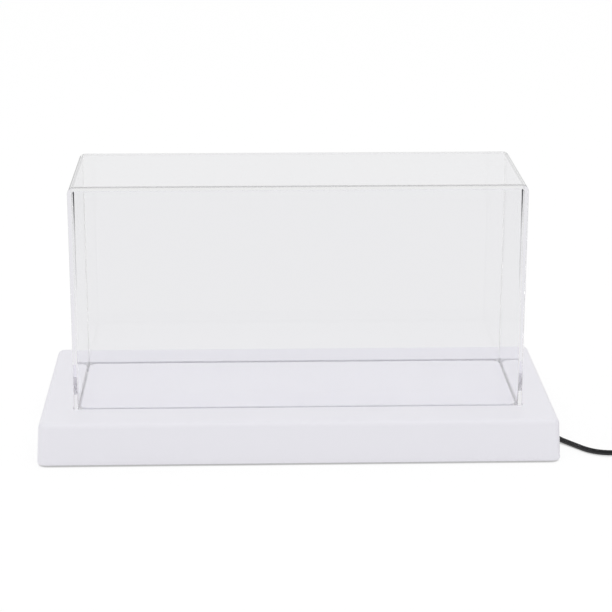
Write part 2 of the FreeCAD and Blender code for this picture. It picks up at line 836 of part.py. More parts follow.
def plug_body(coil):
    """Moulded grip with finger grooves and a tapered sleeve, its sleeve tip on the lead."""
    grip = block((-plug_width / 2, plug_width / 2), (plug_sleeve_length, plug_sleeve_length + plug_length),
                 (-plug_height / 2, plug_height / 2))
    grip = grip.makeFillet(plug_round, [edge for edge in grip.Edges])
    sleeve = cord_sleeve(plug_sleeve_length + plug_round, plug_sleeve_radius, plug_sleeve_tip_radius)
    body = fused([grip, sleeve])
    half_span = plug_width / 2 - plug_grip_margin
    groove_floor_z = plug_height / 2 - plug_grip_depth
    for index in range(plug_grip_count):
        step = (index - (plug_grip_count - 1) / 2) * plug_grip_pitch
        low = plug_sleeve_length + plug_length / 2 + step - plug_grip_width / 2
        for z in ((groove_floor_z, plug_height), (-plug_height, -groove_floor_z)):
            body = body.cut(block((-half_span, half_span), (low, low + plug_grip_width), z))
    body.translate(plug_place(coil))
    return body


def plug_mouth(coil):
    """Middle of the grip's far face, where the metal shell comes out."""
    return plug_place(coil) + vec(0, plug_sleeve_length + plug_length, 0)


def plug_shell(coil):
    """Folded metal shell, open at its end, with two windows through each broad face."""
    def sleeve(inset):
        solid = slab((plug_shell_width - 2 * inset, plug_shell_height - 2 * inset),
                     plug_shell_round - inset, -plug_shell_length, 0)
        solid.rotate(vec(0, 0, 0), vec(1, 0, 0), 90)
        return solid

    shell = sleeve(0).cut(sleeve(plug_shell_wall))
    for x in (-plug_window_x, plug_window_x):
        shell = shell.cut(block((x - plug_window / 2, x + plug_window / 2),
                                (plug_window_y - plug_window / 2, plug_window_y + plug_window / 2),
                                (-plug_shell_height, plug_shell_height)))
    shell.translate(plug_mouth(coil))
    return shell


def tongue_low():
    """Height of the tongue's underside above the shell's inner floor, on the plug's axis."""
    return plug_shell_height / 2 - plug_shell_wall - plug_tongue_height


def plug_tongue(coil):
    tongue = block((-plug_tongue_width / 2, plug_tongue_width / 2), (0, plug_tongue_length),
                   (tongue_low(), tongue_low() + plug_tongue_height))
    tongue.translate(plug_mouth(coil))
    return tongue


def plug_contacts(coil):
    strips = []
    for index in range(plug_contact_count):
        x = (index - (plug_contact_count - 1) / 2) * plug_contact_pitch
        strip = block((x - plug_contact_width / 2, x + plug_contact_width / 2), (0, plug_contact_length),
                      (tongue_low() - plug_contact_thickness, tongue_low()))
        strip.translate(plug_mouth(coil))
        strips.append(strip)
    return Part.makeCompound(strips)


def case_parts():
    """The base, the cover and what the base holds."""
    return {
        "cover_wrap": cover_wrap(),
        "cover_front_panel": cover_panel(-1),
        "cover_back_panel": cover_panel(1),
        "base_shell": base_shell(),
        "floor_panel": floor_panel(),
        "bottom_plate": bottom_plate(),
        "bottom_plate_screws": plate_screws(),
        "rubber_feet": rubber_feet(),
        "light_board_front": light_board(-1),
        "light_board_rear": light_board(1),
        "light_diodes": board_parts(led_size, led_count, led_pitch, 0),
        "board_resistors": board_parts(resistor_size, resistor_count, resistor_pitch, resistor_offset),
        "link_wire_red": link_wire("link wire red", 1),
        "link_wire_black": link_wire("link wire black", -1),
        "supply_wire_red": supply_wire("supply wire red", 1),
        "supply_wire_black": supply_wire("supply wire black", -1),
        "lead_clamp_bar": clamp_bar(),
        "lead_clamp_screws": clamp_screws(),
    }


def lead_parts():
    """The supply lead and what is on it."""
    coil = Coil()
    print("rocker pivot: %.3f, %.3f, %.3f" % tuple(switch_pivot(coil)))
    return {
        "strain_relief": strain_relief(),
        "lead_inner": lead_inner(),
        "lead_free_run": free_lead(),
        "lead_coil": lead_coil(coil),
        "coil_strap": coil_strap(coil),
        "lead_to_switch": switch_lead(coil),
        "switch_case_lower": switch_case(coil, False),
        "switch_case_upper": switch_case(coil, True),
        "switch_rocker": switch_rocker(coil),
        "switch_screws": switch_screws(coil),
        "lead_to_plug": plug_lead(coil),
        "plug_body": plug_body(coil),
        "plug_shell": plug_shell(coil),
        "plug_tongue": plug_tongue(coil),
        "plug_contacts": plug_contacts(coil),
    }


def main():
    os.makedirs("parts", exist_ok=True)
    for name, shape in {**case_parts(), **lead_parts()}.items():
        if not shape.isValid() or not shape.Solids:
            raise ValueError(name + " is not a valid solid")
        shape.exportStep("parts/" + name + ".step")
        print("%s: %d solids, volume %.1f" % (name, len(shape.Solids), shape.Volume))


main()
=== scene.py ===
import json
import math

import bmesh
import bpy
from bpy.props import FloatProperty, FloatVectorProperty, IntProperty, PointerProperty
from mathutils import Euler, Matrix, Vector


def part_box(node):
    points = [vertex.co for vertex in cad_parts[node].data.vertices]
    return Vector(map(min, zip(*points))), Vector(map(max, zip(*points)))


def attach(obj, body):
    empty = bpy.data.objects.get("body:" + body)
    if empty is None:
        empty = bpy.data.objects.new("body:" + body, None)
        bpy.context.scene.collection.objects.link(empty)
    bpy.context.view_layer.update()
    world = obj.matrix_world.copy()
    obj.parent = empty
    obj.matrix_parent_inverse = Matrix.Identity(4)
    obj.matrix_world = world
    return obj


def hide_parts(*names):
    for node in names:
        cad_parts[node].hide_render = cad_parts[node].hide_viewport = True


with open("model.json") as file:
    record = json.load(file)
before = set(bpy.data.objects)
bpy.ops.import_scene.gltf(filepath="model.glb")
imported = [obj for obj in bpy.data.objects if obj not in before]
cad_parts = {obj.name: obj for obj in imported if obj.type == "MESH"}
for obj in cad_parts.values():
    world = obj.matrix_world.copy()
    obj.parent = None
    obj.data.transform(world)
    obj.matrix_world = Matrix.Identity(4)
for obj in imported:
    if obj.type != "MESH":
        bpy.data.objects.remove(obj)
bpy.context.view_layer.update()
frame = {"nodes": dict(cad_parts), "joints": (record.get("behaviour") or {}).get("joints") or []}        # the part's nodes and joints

bl_info = {
    "name": "Lit display case",
    "version": (1, 0, 0),
    "blender": (4, 5, 0),
    "location": "3D View > Sidebar > Display case",
    "description": "Finishes for a clear lift-off display case on a lit white base, with its lead laid out",
    "category": "Object",
}

MM = 0.001
UP = Vector((0.0, 0.0, 1.0))
WHITE = (1.0, 1.0, 1.0, 1.0)
SHARP_ANGLE = math.radians(35.0)
SENSOR_WIDTH = 36.0
GUIDED_BOUNCES = 3.5        # past this many bounces inside the clear sheet, light passes straight out

# The lead's route from the strain relief to the coil, in millimetres: its solid's points, with the second
# to the sixth up to 4 mm nearer to the base, which hides them in the photograph
LEAD_ROUTE = [
    (140.0, 113.6, 9.0),
    (151.4, 126.0, 6.8),
    (168.2, 125.6, 4.2),
    (178.8, 112.4, 2.4),
    (178.4, 90.0, 1.9),
    (176.2, 60.0, 1.9),
    (175.4, 24.0, 1.9),
    (175.2, -6.0, 1.9),
    (175.3, -27.5, 1.9),
    (175.6, -40.5, 1.9),
    (182.9, -50.8, 1.9),
    (197.0, -70.3, 2.1),
    (219.5, -72.6, 2.7),
    (241.0, -73.7, 2.7),
]

# Screws by node, in millimetres: head height, shank radius, and whether the head is on top
SCREW_SETS = {
    "bottom_plate_screws": (1.5, 1.45, False),
    "lead_clamp_screws": (1.4, 1.2, True),
    "switch_screws": (1.2, 1.0, False),
}

# A pan head's outline from the middle of its face, in shares of its radius and its height
HEAD_OUTLINE = ((0.0, 0.0), (0.55, 0.0), (0.8, 0.06), (0.94, 0.25), (1.0, 0.55), (1.0, 1.0))

# Places of the soft lamps in metres, and the setting that holds the power of each
LAMPS = {
    "lamp_left": ((-1.2, -1.2, 1.8), "lamp_level"),
    "lamp_right": ((1.3, -1.1, 1.75), "lamp_level"),
    "lamp_top": ((0.0, -0.1, 1.9), "top_level"),
}

# Where the room round the backdrop begins to dim, where it is dimmest, and the setting that says how dim:
# in the sky as parts of a direction of length 1, and on the floor in metres
SKY_DIMS = {"y": (0.3, -0.3, "front_level"), "aside": (0.4, 0.9, "side_level"), "z": (0.4, 0.6, "high_level")}
FLOOR_DIMS = {"y": (-0.1, -0.4, "front_level"), "aside": (0.5, 1.1, "side_level")}


def linear(colour):
    """Linear red, green, blue and alpha of an sRGB hex colour."""
    channels = [int(colour[i:i + 2], 16) / 255 for i in (0, 2, 4)]
    return tuple(c / 12.92 if c <= 0.04045 else ((c + 0.055) / 1.055) ** 2.4 for c in channels) + (1.0,)


def colour_property(name, description, colour):
    """Colour setting whose default is an sRGB hex value."""
    return FloatVectorProperty(name=name, description=description, subtype="COLOR", size=4, min=0, max=1,
                               default=linear(colour))


def length_property(name, description, millimetres):
    """Length setting whose default is given in millimetres."""
    return FloatProperty(name=name, description=description, default=millimetres * MM, unit="LENGTH")


def angle_property(name, description, degrees):
    """Angle setting whose default is given in degrees."""
    return FloatProperty(name=name, description=description, default=math.radians(degrees), subtype="ANGLE")


def share_property(name, description, share):
    """Setting that goes from nothing to the whole."""
    return FloatProperty(name=name, description=description, default=share, min=0, max=1, subtype="FACTOR")


class CaseFinishes(bpy.types.PropertyGroup):
    """Colours of the case's materials, with painted shade on the cover and painted light in its groove."""

    acrylic: colour_property("Cover", "Tint of the clear cover sheet", "FDFDFE")
    # Painted shade on the cover: a faint tint on its cut edges, grey on its arrises, dark grey on its bends
    # and top front edge.
    cut_edge_shade_colour: colour_property("Cut edges", "Tint of the cover's sides at their cut edges", "F9F8FD")
    arris_shade_colour: colour_property("Arrises", "Grey of the cover's polished arrises", "F2F2F5")
    bend_shade_colour: colour_property("Bends", "Grey of the cover's bends and its top front edge", "2A2A32")
    # The dry joints are real, where the cement ran short; their dark tone is painted shade.
    joint: colour_property("Dry joints", "Tone of the joints where the cement ran short", "303034")
    base: colour_property("Base", "White of the moulded base", "E8E7ED")
    panel: colour_property("Floor panel", "White of the lit floor panel", "E6E5EB")
    # Painted light: a paler white in the groove stands in for light that the cover's bent sides lead down
    # into it.
    groove: colour_property("Lit groove", "White of the groove's sides, lit through the cover", "FCFBFE")
    lead: colour_property("Lead", "Black of the lead, the plug's grip and the strain relief", "101012")
    switch: colour_property("Switch", "Black of the hand switch", "1C1C1E")
    mark: colour_property("Rocker marks", "White of the marks on the rocker", "DADADA")
    strap: colour_property("Strap", "Black of the strap round the coil", "141416")
    rubber: colour_property("Feet", "Black of the rubber feet", "18181A")
    board: colour_property("Light boards", "White of the boards' solder mask", "E6E7E4")
    phosphor: colour_property("Phosphor", "Yellow of the unlit diodes", "E3D67A")
    resistor: colour_property("Resistors", "Black of the resistors' coat", "1B1B1D")
    wire_red: colour_property("Red wire", "Insulation of the supply's red wire", "A3201D")
    wire_black: colour_property("Black wire", "Insulation of the supply's black wire", "161617")
    zinc: colour_property("Screws", "Grey of the zinc-plated screws", "C3C6CA")
    nickel: colour_property("Plug shell", "Grey of the plug's metal shell", "C9C7C2")
    gold: colour_property("Contacts", "Gold of the plug's contacts", "D9B25B")
    tongue: colour_property("Plug tongue", "White of the plug's insulator", "DCDCD8")


class CoverShadeAndJoints(bpy.types.PropertyGroup):
    """Painted shade on the clear cover's edges and dry joints, light through its cement, and painted light in
    its groove.
    """

    # Painted shade along the top front edge and on the bends.
    edge_width: length_property("Front edge", "Width of the line along the cover's top front edge", 0.9)
    edge_shade_share: share_property("Front edge tone", "Strength of the line along the top front edge", 0.4)
    bend_shade_start: length_property("Dull from", "Depth below the top at which the bends begin to dull", 2.5)
    bend_shade_full: length_property("Dull at", "Depth below the top at which the bends are fully dull", 1.2)
    # Painted shade at the sides' cut edges.
    cut_shade_depth: length_property("Cut layer", "Depth of the tinted layer at the sides' cut edges", 0.1)
    cement: share_property("Cement", "Share of light that the back joints pass straight through", 0.65)
    cement_reach: length_property("Cement reach", "How far from a back joint its cement shows", 0.7)
    # The front joints' dry upper ends are real; their dark tone, thinner further down, is painted shade.
    joint_length: length_property("Dry joint", "Length of the front joints' dry upper ends", 34.0)
    joint_thin: share_property("Thin joint", "Strength of the front joints below their dry ends", 0.25)
    joint_fade: length_property("Joint fades", "Depth below the top where a thin joint begins to fade", 48.75)
    joint_end: length_property("Joint ends", "Depth below the top where a thin joint has faded", 75.0)
    joint_inset: length_property("Joint inset", "How far inside the front panel's sides a joint shows", 1.1)
    joint_width: length_property("Joint width", "Width of a front joint", 0.7)
    # Painted light in the groove under the cover.
    groove_reach: length_property("Groove reach", "How far past the cover its groove is lit", 1.5)
    groove_depth: length_property("Groove depth", "Depth below the panel's top where the lit part ends", 0.5)


class LeadSizes(bpy.types.PropertyGroup):
    """Sizes of the supply lead and its coil."""

    diameter: length_property("Diameter", "Thickness of the lead", 3.6)
    coil_radius: length_property("Coil radius", "Radius of the coil's outer loop", 25.95)
    coil_turns: FloatProperty(name="Turns", description="Number of loops in the coil", default=4.25)
    coil_pitch: length_property("Loop spacing", "Distance between loops side by side", 4.1)
    coil_rise: length_property("Layer rise", "Height between the coil's two layers", 4.05)
    points_per_turn: IntProperty(name="Points per turn", description="Points that draw one loop", default=18)
    strap_turn: angle_property("Strap place", "Where round the coil the strap is", 225.0)
    strap_thickness: length_property("Strap thickness", "Thickness of the strap", 0.7)
    strap_round: length_property("Strap corner", "Inner radius of the strap's corners", 1.0)


class FittingSizes(bpy.types.PropertyGroup):
    """Sizes of the small fittings that are modelled here."""

    thread_pitch: length_property("Thread pitch", "Distance between the screws' threads", 1.0)
    thread_depth: length_property("Thread depth", "Depth of the screws' threads", 0.25)
    recess_width: length_property("Recess width", "Width of the cross recess in a screw's head", 0.7)
    recess_depth: length_property("Recess depth", "Depth of the cross recess in a screw's head", 0.9)
    diode_rim: length_property("Diode rim", "Rim of a diode's housing round its phosphor", 0.4)
    diode_tab: length_property("Diode tab", "How far a diode's solder tabs stick out", 0.2)
    cap_length: length_property("Resistor cap", "Length of a resistor's metal end", 0.4)
    cap_step: length_property("Resistor step", "How far a resistor's ends stand proud of its body", 0.04)
    mark_size: length_property("Mark", "Height of the marks on the rocker", 2.2)
    mark_stroke: length_property("Mark stroke", "Stroke of the marks on the rocker", 0.4)
    mark_reach: length_property("Mark place", "Distance of a mark from the rocker's middle", 4.0)
    ink_height: length_property("Ink height", "How far the marks' ink stands proud", 0.05)
    ink_depth: length_property("Ink depth", "How far the marks' ink sinks in", 0.02)


class StageSettings(bpy.types.PropertyGroup):
    """Camera, light and floor."""

    camera_place: FloatVectorProperty(name="Camera", description="Place of the camera", subtype="TRANSLATION",
                                      unit="LENGTH", default=(-0.0356, -1.3047, 0.4813))
    camera_down: angle_property("Down", "How far the camera looks down", 16.902)
    camera_aside: angle_property("Aside", "How far the camera looks to the right", 1.845)
    camera_roll: angle_property("Roll", "How far the camera leans", 0.097)
    lens: FloatProperty(name="Lens", description="Focal length on a 36 mm wide frame", default=117.0,
                        unit="CAMERA")
    sky_level: share_property("Sky", "Level of the even light from all round", 0.94)
    backdrop_level: share_property("Backdrop", "Brightness of the backdrop in gloss and glass", 0.875)
    front_level: share_property("Front of the studio", "Share of it that shows in front", 0.5)
    side_level: share_property("Sides of the studio", "Share of it that shows at the sides", 0.4)
    high_level: share_property("Above the backdrop", "Share of it that shows above the backdrop", 0.3)
    lamp_level: FloatProperty(name="Lamps", description="Power of each side lamp", default=1.5, unit="POWER")
    top_level: FloatProperty(name="Top lamp", description="Power of the lamp overhead", default=3.5,
                             unit="POWER")
    lamp_size: length_property("Lamp size", "Side of each square lamp", 1400.0)
    lamp_aim: length_property("Lamp aim", "Height of the point that the lamps face", 80.0)
    floor_size: length_property("Floor", "Side of the square floor", 12000.0)
    floor_drop: length_property("Floor drop", "How far the floor lies under the feet", 0.2)
    # Reach of the floor's painted contact shadow.
    contact_reach: length_property("Contact", "How near to the base the floor darkens", 15.0)
    shadow_share: share_property("Shadow", "Share of the floor that takes shadow", 0.1)


# Shader nodes


def add_node(tree, kind, values=None, links=None, **settings):
    """Add a shader node with its settings, its sockets' values and links into its sockets.

    A link comes from a socket, or from a node, which then gives its first output in use.
    """
    node = tree.nodes.new("ShaderNode" + kind)
    for name, value in settings.items():
        setattr(node, name, value)
    for name, value in (values or {}).items():
        node.inputs[name].default_value = value
    for name, source in (links or {}).items():
        if isinstance(source, bpy.types.Node):
            source = next(socket for socket in source.outputs if socket.enabled)
        tree.links.new(source, node.inputs[name])
    return node


def new_material(name):
    """An empty node material, its tree and the socket that gives the place on the object."""
    material = bpy.data.materials.new(name)
    material.use_nodes = True
    tree = material.node_tree
    tree.nodes.clear()
    return material, tree, add_node(tree, "TexCoord").outputs["Object"]


def per_size(size_mm):
    """Texture scale whose features are about this many millimetres wide."""
    return 1.0 / (size_mm * MM)


def scaled(colour, factor, added=0.0):
    """A linear colour with its channels scaled and something added to them."""
    return tuple(factor * c + added for c in colour[:3]) + (1.0,)


def folded(tree, operation, *values):
    """Several values taken together by one operation, as their product or the largest of them."""
    result = values[0]
    for value in values[1:]:
        result = add_node(tree, "Math", links={0: result, 1: value}, operation=operation)
    return result


def fade(tree, value, start, end, level):
    """Smooth change from 1 to a level as a value goes from start to end."""
    return add_node(tree, "MapRange", {"From Min": start, "From Max": end, "To Min": 1.0, "To Max": level},
                    {"Value": value}, interpolation_type="SMOOTHSTEP")


def split_place(tree, place):
    """A place's distance aside from the case's middle plane, and its Y and Z."""
    axis = add_node(tree, "SeparateXYZ", links={0: place}).outputs
    aside = add_node(tree, "Math", links={0: axis["X"]}, operation="ABSOLUTE")
    return {"aside": aside, "y": axis["Y"], "z": axis["Z"]}


def zone(tree, axes, **limits):
    """1 where each named axis lies between its two limits, else 0."""
    tests = [add_node(tree, "Math", {1: (low + high) / 2, 2: (high - low) / 2}, {0: axes[name]},
                      operation="COMPARE") for name, (low, high) in limits.items()]
    return folded(tree, "MULTIPLY", *tests)


# Materials


def turned_away(tree):
    """0 on the flats of a squared-up piece, rising to 1 where a bend or an eased arris is half-way round."""
    normal = add_node(tree, "NewGeometry").outputs["True Normal"]
    sizes = add_node(tree, "VectorMath", links={0: normal}, operation="ABSOLUTE")
    largest = folded(tree, "MAXIMUM", *add_node(tree, "SeparateXYZ", links={0: sizes}).outputs)
    square = add_node(tree, "Math", {1: 2.0}, {0: largest}, operation="POWER")
    slope = add_node(tree, "Math", {1: -2.0, 2: 2.0}, {0: square}, operation="MULTIPLY_ADD")
    return add_node(tree, "Math", {1: 2.0}, {0: slope}, operation="POWER")


def front_edge_shade(tree, axes, marks):
    """Strength of the painted shade line along the cover's top front edge, else 0."""
    low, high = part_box("cover_wrap")
    corner = zone(tree, axes, y=(low.y - MM, low.y + marks.edge_width),
                  z=(high.z - marks.edge_width, high.z + MM))
    return add_node(tree, "Math", {1: marks.edge_shade_share}, {0: corner}, operation="MULTIPLY")


def bend_shade(tree, axes, marks):
    """1 on the sheet's bends and its top front edge, which get darker painted shade than its other arrises.

    The last millimetre at the back is left out.
    """
    low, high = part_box("cover_wrap")
    upper = add_node(tree, "MapRange", {"From Min": high.z - marks.bend_shade_start,
                                        "From Max": high.z - marks.bend_shade_full}, {"Value": axes["z"]})
    return folded(tree, "MULTIPLY", upper, zone(tree, axes, y=(low.y - MM, high.y - MM)))


def cut_edge_shade(tree, axes, marks):
    """1 on the front and back cut edges of the bent sheet's sides, where a faint tint is painted as shade,
    else 0.
    """
    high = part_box("cover_wrap")[1]
    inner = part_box("cover_front_panel")[1]
    away = add_node(tree, "Math", links={0: axes["y"]}, operation="ABSOLUTE")
    return zone(tree, {"aside": axes["aside"], "away": away}, aside=(inner.x, high.x + MM),
                away=(high.y - marks.cut_shade_depth, high.y + MM))


def dry_joint_shade(tree, axes, marks):
    """1 at the top of the front panel's joints, where the cement ran short and dark shade is painted,
    thinning out further down.
    """
    low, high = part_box("cover_front_panel")
    middle = high.x - marks.joint_inset
    half = marks.joint_width / 2
    strip = zone(tree, axes, aside=(middle - half, middle + half), y=(low.y - MM, high.y + MM),
                 z=(low.z, high.z))
    return folded(tree, "MULTIPLY", strip,
                  fade(tree, axes["z"], high.z, high.z - marks.joint_length, marks.joint_thin),
                  fade(tree, axes["z"], high.z - marks.joint_fade, high.z - marks.joint_end, 0.0))


def filled_joint(tree, axes, marks):
    """Share of light that passes straight through the back panel's side joints, which cement fills."""
    low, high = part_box("cover_back_panel")
    reach = marks.cement_reach
    seam = zone(tree, axes, aside=(high.x - reach, high.x + reach), y=(low.y - reach, high.y + reach),
                z=(low.z - reach, high.z + reach))
    return add_node(tree, "Math", {1: marks.cement}, {0: seam}, operation="MULTIPLY")


def clear_cast_acrylic(finishes, marks):
    """Cast acrylic sheet: polished and clear, with a faint wipe haze and a slow waviness of its faces.

    Bends and arrises lead light away, so grey lines of painted shade lie on them, and painted dark shade on
    joints that lack cement.
    Lamps and scattered light pass straight through it, as through a thin sheet, and so does light
    that the sheet has guided along inside itself for more than three bounces.
    """
    material, tree, place = new_material("Clear cast acrylic")
    axes = split_place(tree, place)
    wipes = add_node(tree, "TexNoise", {"Scale": per_size(35.0), "Detail": 3.0}, {"Vector": place})
    haze = add_node(tree, "MapRange", {"To Min": 0.0, "To Max": 0.03}, {"Value": wipes})
    waves = add_node(tree, "TexNoise", {"Scale": per_size(60.0), "Detail": 0.0}, {"Vector": place})
    bump = add_node(tree, "Bump", {"Strength": 0.02, "Distance": 0.2 * MM}, {"Height": waves})

    # Painted shade: a faint tint on the cut edges, grey on the arrises, dark grey on the bends and the top
    # front edge, dark on the dry joints.
    plain = add_node(tree, "Mix", {"A": finishes.acrylic, "B": finishes.cut_edge_shade_colour},
                     {"Factor": cut_edge_shade(tree, axes, marks)}, data_type="RGBA")
    line = add_node(tree, "Mix", {"A": finishes.arris_shade_colour, "B": finishes.bend_shade_colour},
                    {"Factor": bend_shade(tree, axes, marks)}, data_type="RGBA")
    edge = folded(tree, "MAXIMUM", turned_away(tree), front_edge_shade(tree, axes, marks))
    edge_shaded = add_node(tree, "Mix", links={"Factor": edge, "A": plain, "B": line}, data_type="RGBA")
    joint_shaded = add_node(tree, "Mix", {"B": finishes.joint},
                    {"Factor": dry_joint_shade(tree, axes, marks), "A": edge_shaded}, data_type="RGBA")
    sheet = add_node(tree, "BsdfPrincipled", {"IOR": 1.49, "Transmission Weight": 1.0},
                     {"Base Color": joint_shaded, "Roughness": haze, "Normal": bump})

    path = add_node(tree, "LightPath").outputs
    guided = add_node(tree, "Math", {1: GUIDED_BOUNCES}, {0: path["Glossy Depth"]}, operation="GREATER_THAN")
    through = folded(tree, "MAXIMUM", path["Is Shadow Ray"], path["Is Diffuse Ray"], guided,
                     filled_joint(tree, axes, marks))
    passing = add_node(tree, "BsdfTransparent", {"Color": scaled(WHITE, 0.99)})
    mixed = add_node(tree, "MixShader", links={0: through, 1: sheet, 2: passing})
    add_node(tree, "OutputMaterial", links={"Surface": mixed})
    return material


def painted_groove_light(tree, place, marks):
    """1 in the groove under the cover's bent sides, where light that they lead down into it from the top is
    painted in as a paler white, else 0.
    """
    low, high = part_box("cover_wrap")
    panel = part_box("floor_panel")[1]
    reach = marks.groove_reach
    return zone(tree, split_place(tree, place), aside=(panel.x - reach, high.x + reach),
                y=(low.y - reach, high.y + reach), z=(low.z - reach, panel.z - marks.groove_depth))


def moulded(name, colour, roughness, grain_mm, grain_depth_mm, mottle, depth_mm=0.0, groove=None, marks=None):
    """Moulded plastic or rubber: the mould's grain, a slow change of gloss, a faint unevenness of colour."""
    material, tree, place = new_material(name)
    grain = add_node(tree, "TexNoise", {"Scale": per_size(grain_mm), "Detail": 4.0}, {"Vector": place})
    bump = add_node(tree, "Bump", {"Strength": 0.3, "Distance": grain_depth_mm * MM}, {"Height": grain})
    flow = add_node(tree, "TexNoise", {"Scale": per_size(40.0), "Detail": 2.0}, {"Vector": place})
    gloss = add_node(tree, "MapRange", {"To Min": roughness - 0.05, "To Max": roughness + 0.05},
                     {"Value": flow})
    tone = add_node(tree, "Mix", {"A": colour, "B": scaled(colour, 1.0 - mottle)}, {"Factor": flow},
                    data_type="RGBA")
    # Where given, a paler white is painted into the groove as light that the cover leads down into it.
    if groove:
        tone = add_node(tree, "Mix", {"B": groove}, {"Factor": painted_groove_light(tree, place, marks), "A": tone},
                        data_type="RGBA")
    shell = add_node(tree, "BsdfPrincipled",
                     {"IOR": 1.54, "Subsurface Weight": 1.0 if depth_mm else 0.0,
                      "Subsurface Scale": depth_mm * MM, "Subsurface Radius": (1.0, 1.0, 1.0)},
                     {"Base Color": tone, "Roughness": gloss, "Normal": bump})
    add_node(tree, "OutputMaterial", links={"Surface": shell})
    return material


def metal(name, colour, roughness, brush_mm, stretch):
    """Bare or plated metal: fine drawn lines along the given stretch, and handling marks in its gloss."""
    material, tree, place = new_material(name)
    drawn = add_node(tree, "Mapping", {"Scale": stretch}, {"Vector": place})
    lines = add_node(tree, "TexNoise", {"Scale": per_size(brush_mm), "Detail": 2.0}, {"Vector": drawn})
    bump = add_node(tree, "Bump", {"Strength": 0.15, "Distance": 0.01 * MM}, {"Height": lines})
    marks = add_node(tree, "TexNoise", {"Scale": per_size(3.0), "Detail": 3.0}, {"Vector": place})
    gloss = add_node(tree, "MapRange", {"To Min": roughness - 0.08, "To Max": roughness + 0.1},
                     {"Value": marks})
    plate = add_node(tree, "BsdfPrincipled", {"Base Color": colour, "Metallic": 1.0},
                     {"Roughness": gloss, "Normal": bump})
    add_node(tree, "OutputMaterial", links={"Surface": plate})
    return material


def white_abs(finishes, marks):
    # Injection-moulded ABS: a satin white, slightly lilac, that softens every reflection.
    return moulded("Moulded white ABS", finishes.base, 0.4, 0.9, 0.01, 0.01, 0.0, finishes.groove, marks)


def opal_acrylic(finishes, marks):
    # Opal acrylic sheet: smoother than the base, so it mirrors the cover faintly, and light sinks into it.
    return moulded("Opal acrylic", finishes.panel, 0.25, 2.0, 0.004, 0.01, 2.0, finishes.groove, marks)


def flexible_pvc(finishes):
    # Extruded flexible PVC: near black, with a dull sheen along the lead.
    return moulded("Flexible black PVC", finishes.lead, 0.45, 0.8, 0.02, 0.15)


def switch_abs(finishes):
    # Moulded ABS from a spark-eroded mould: an even fine stipple that breaks up highlights.
    return moulded("Stippled black ABS", finishes.switch, 0.5, 0.5, 0.05, 0.1)


def rocker_abs(finishes):
    # Moulded ABS from a polished mould: glossier than the switch's case.
    return moulded("Polished black ABS", finishes.switch, 0.22, 1.5, 0.005, 0.1)


def printed_ink(finishes):
    # Pad-printed ink: matt, slightly uneven in cover.
    return moulded("Pad-printed ink", finishes.mark, 0.6, 0.3, 0.01, 0.12)


def foot_rubber(finishes):
    # Moulded rubber: matt and dusty, with a coarse grain.
    return moulded("Moulded black rubber", finishes.rubber, 0.75, 0.6, 0.04, 0.25)


def red_insulation(finishes):
    # Extruded PVC insulation: thin, red right through, with a soft gloss.
    return moulded("Red PVC insulation", finishes.wire_red, 0.35, 0.6, 0.01, 0.1)


def black_insulation(finishes):
    # Extruded PVC insulation: the same in black.
    return moulded("Black PVC insulation", finishes.wire_black, 0.35, 0.6, 0.01, 0.1)


def resistor_coat(finishes):
    # Fired ceramic with a glass coat: black and slightly glossy.
    return moulded("Glazed black ceramic", finishes.resistor, 0.3, 0.4, 0.01, 0.1)


def white_polyamide(finishes):
    # Moulded polyamide: white with a slight gloss.
    return moulded("Moulded white polyamide", finishes.tongue, 0.35, 0.7, 0.01, 0.04)


def zinc_plate(finishes):
    # Zinc-plated steel: pale blue-grey with blurred reflections and no one direction.
    return metal("Zinc-plated steel", finishes.zinc, 0.38, 0.3, (1.0, 1.0, 1.0))


def rolled_nickel(finishes):
    # Nickel-plated folded strip: warm grey, with rolling lines along the plug.
    return metal("Nickel-plated steel", finishes.nickel, 0.26, 0.25, (1.0, 0.06, 1.0))


def plated_gold(finishes):
    # Gold flash over nickel: thin, bright and slightly streaked along the contacts.
    return metal("Gold-plated bronze", finishes.gold, 0.24, 0.3, (1.0, 0.1, 1.0))


def tinned_metal(finishes):
    # Tinned terminal metal: dull silver, dimpled by the solder.
    return metal("Tinned terminal", finishes.zinc, 0.45, 0.4, (1.0, 1.0, 1.0))


def solder_mask(finishes):
    """White solder mask on a glass-epoxy board: satin, with copper tracks raised under it along the board."""
    material, tree, place = new_material("White solder mask")
    # Bands repeat about every third of the texture's size, so the tracks lie 5 mm apart.
    tracks = add_node(tree, "TexWave", {"Scale": per_size(16.0), "Distortion": 0.0}, {"Vector": place},
                      bands_direction="Y")
    raised = add_node(tree, "MapRange", {"From Min": 0.55, "From Max": 0.65},
                      {"Value": tracks.outputs["Fac"]})
    bump = add_node(tree, "Bump", {"Strength": 0.4, "Distance": 0.035 * MM}, {"Height": raised})
    tone = add_node(tree, "Mix", {"A": finishes.board, "B": scaled(finishes.board, 0.93)}, {"Factor": raised},
                    data_type="RGBA")
    mask = add_node(tree, "BsdfPrincipled", {"IOR": 1.55, "Roughness": 0.35},
                    {"Base Color": tone, "Normal": bump})
    add_node(tree, "OutputMaterial", links={"Surface": mask})
    return material


def phosphor_gel(finishes):
    """Silicone filled with phosphor: a soft yellow that light sinks into, grainy close up."""
    material, tree, place = new_material("Phosphor in silicone")
    grains = add_node(tree, "TexNoise", {"Scale": per_size(0.15), "Detail": 2.0}, {"Vector": place})
    tone = add_node(tree, "Mix", {"A": finishes.phosphor, "B": scaled(finishes.phosphor, 0.7, 0.3)},
                    {"Factor": grains}, data_type="RGBA")
    bump = add_node(tree, "Bump", {"Strength": 0.2, "Distance": 0.01 * MM}, {"Height": grains})
    gel = add_node(tree, "BsdfPrincipled", {"IOR": 1.41, "Roughness": 0.3, "Subsurface Weight": 0.3,
                                            "Subsurface Scale": 0.2 * MM},
                   {"Base Color": tone, "Normal": bump})
    add_node(tree, "OutputMaterial", links={"Surface": gel})
    return material


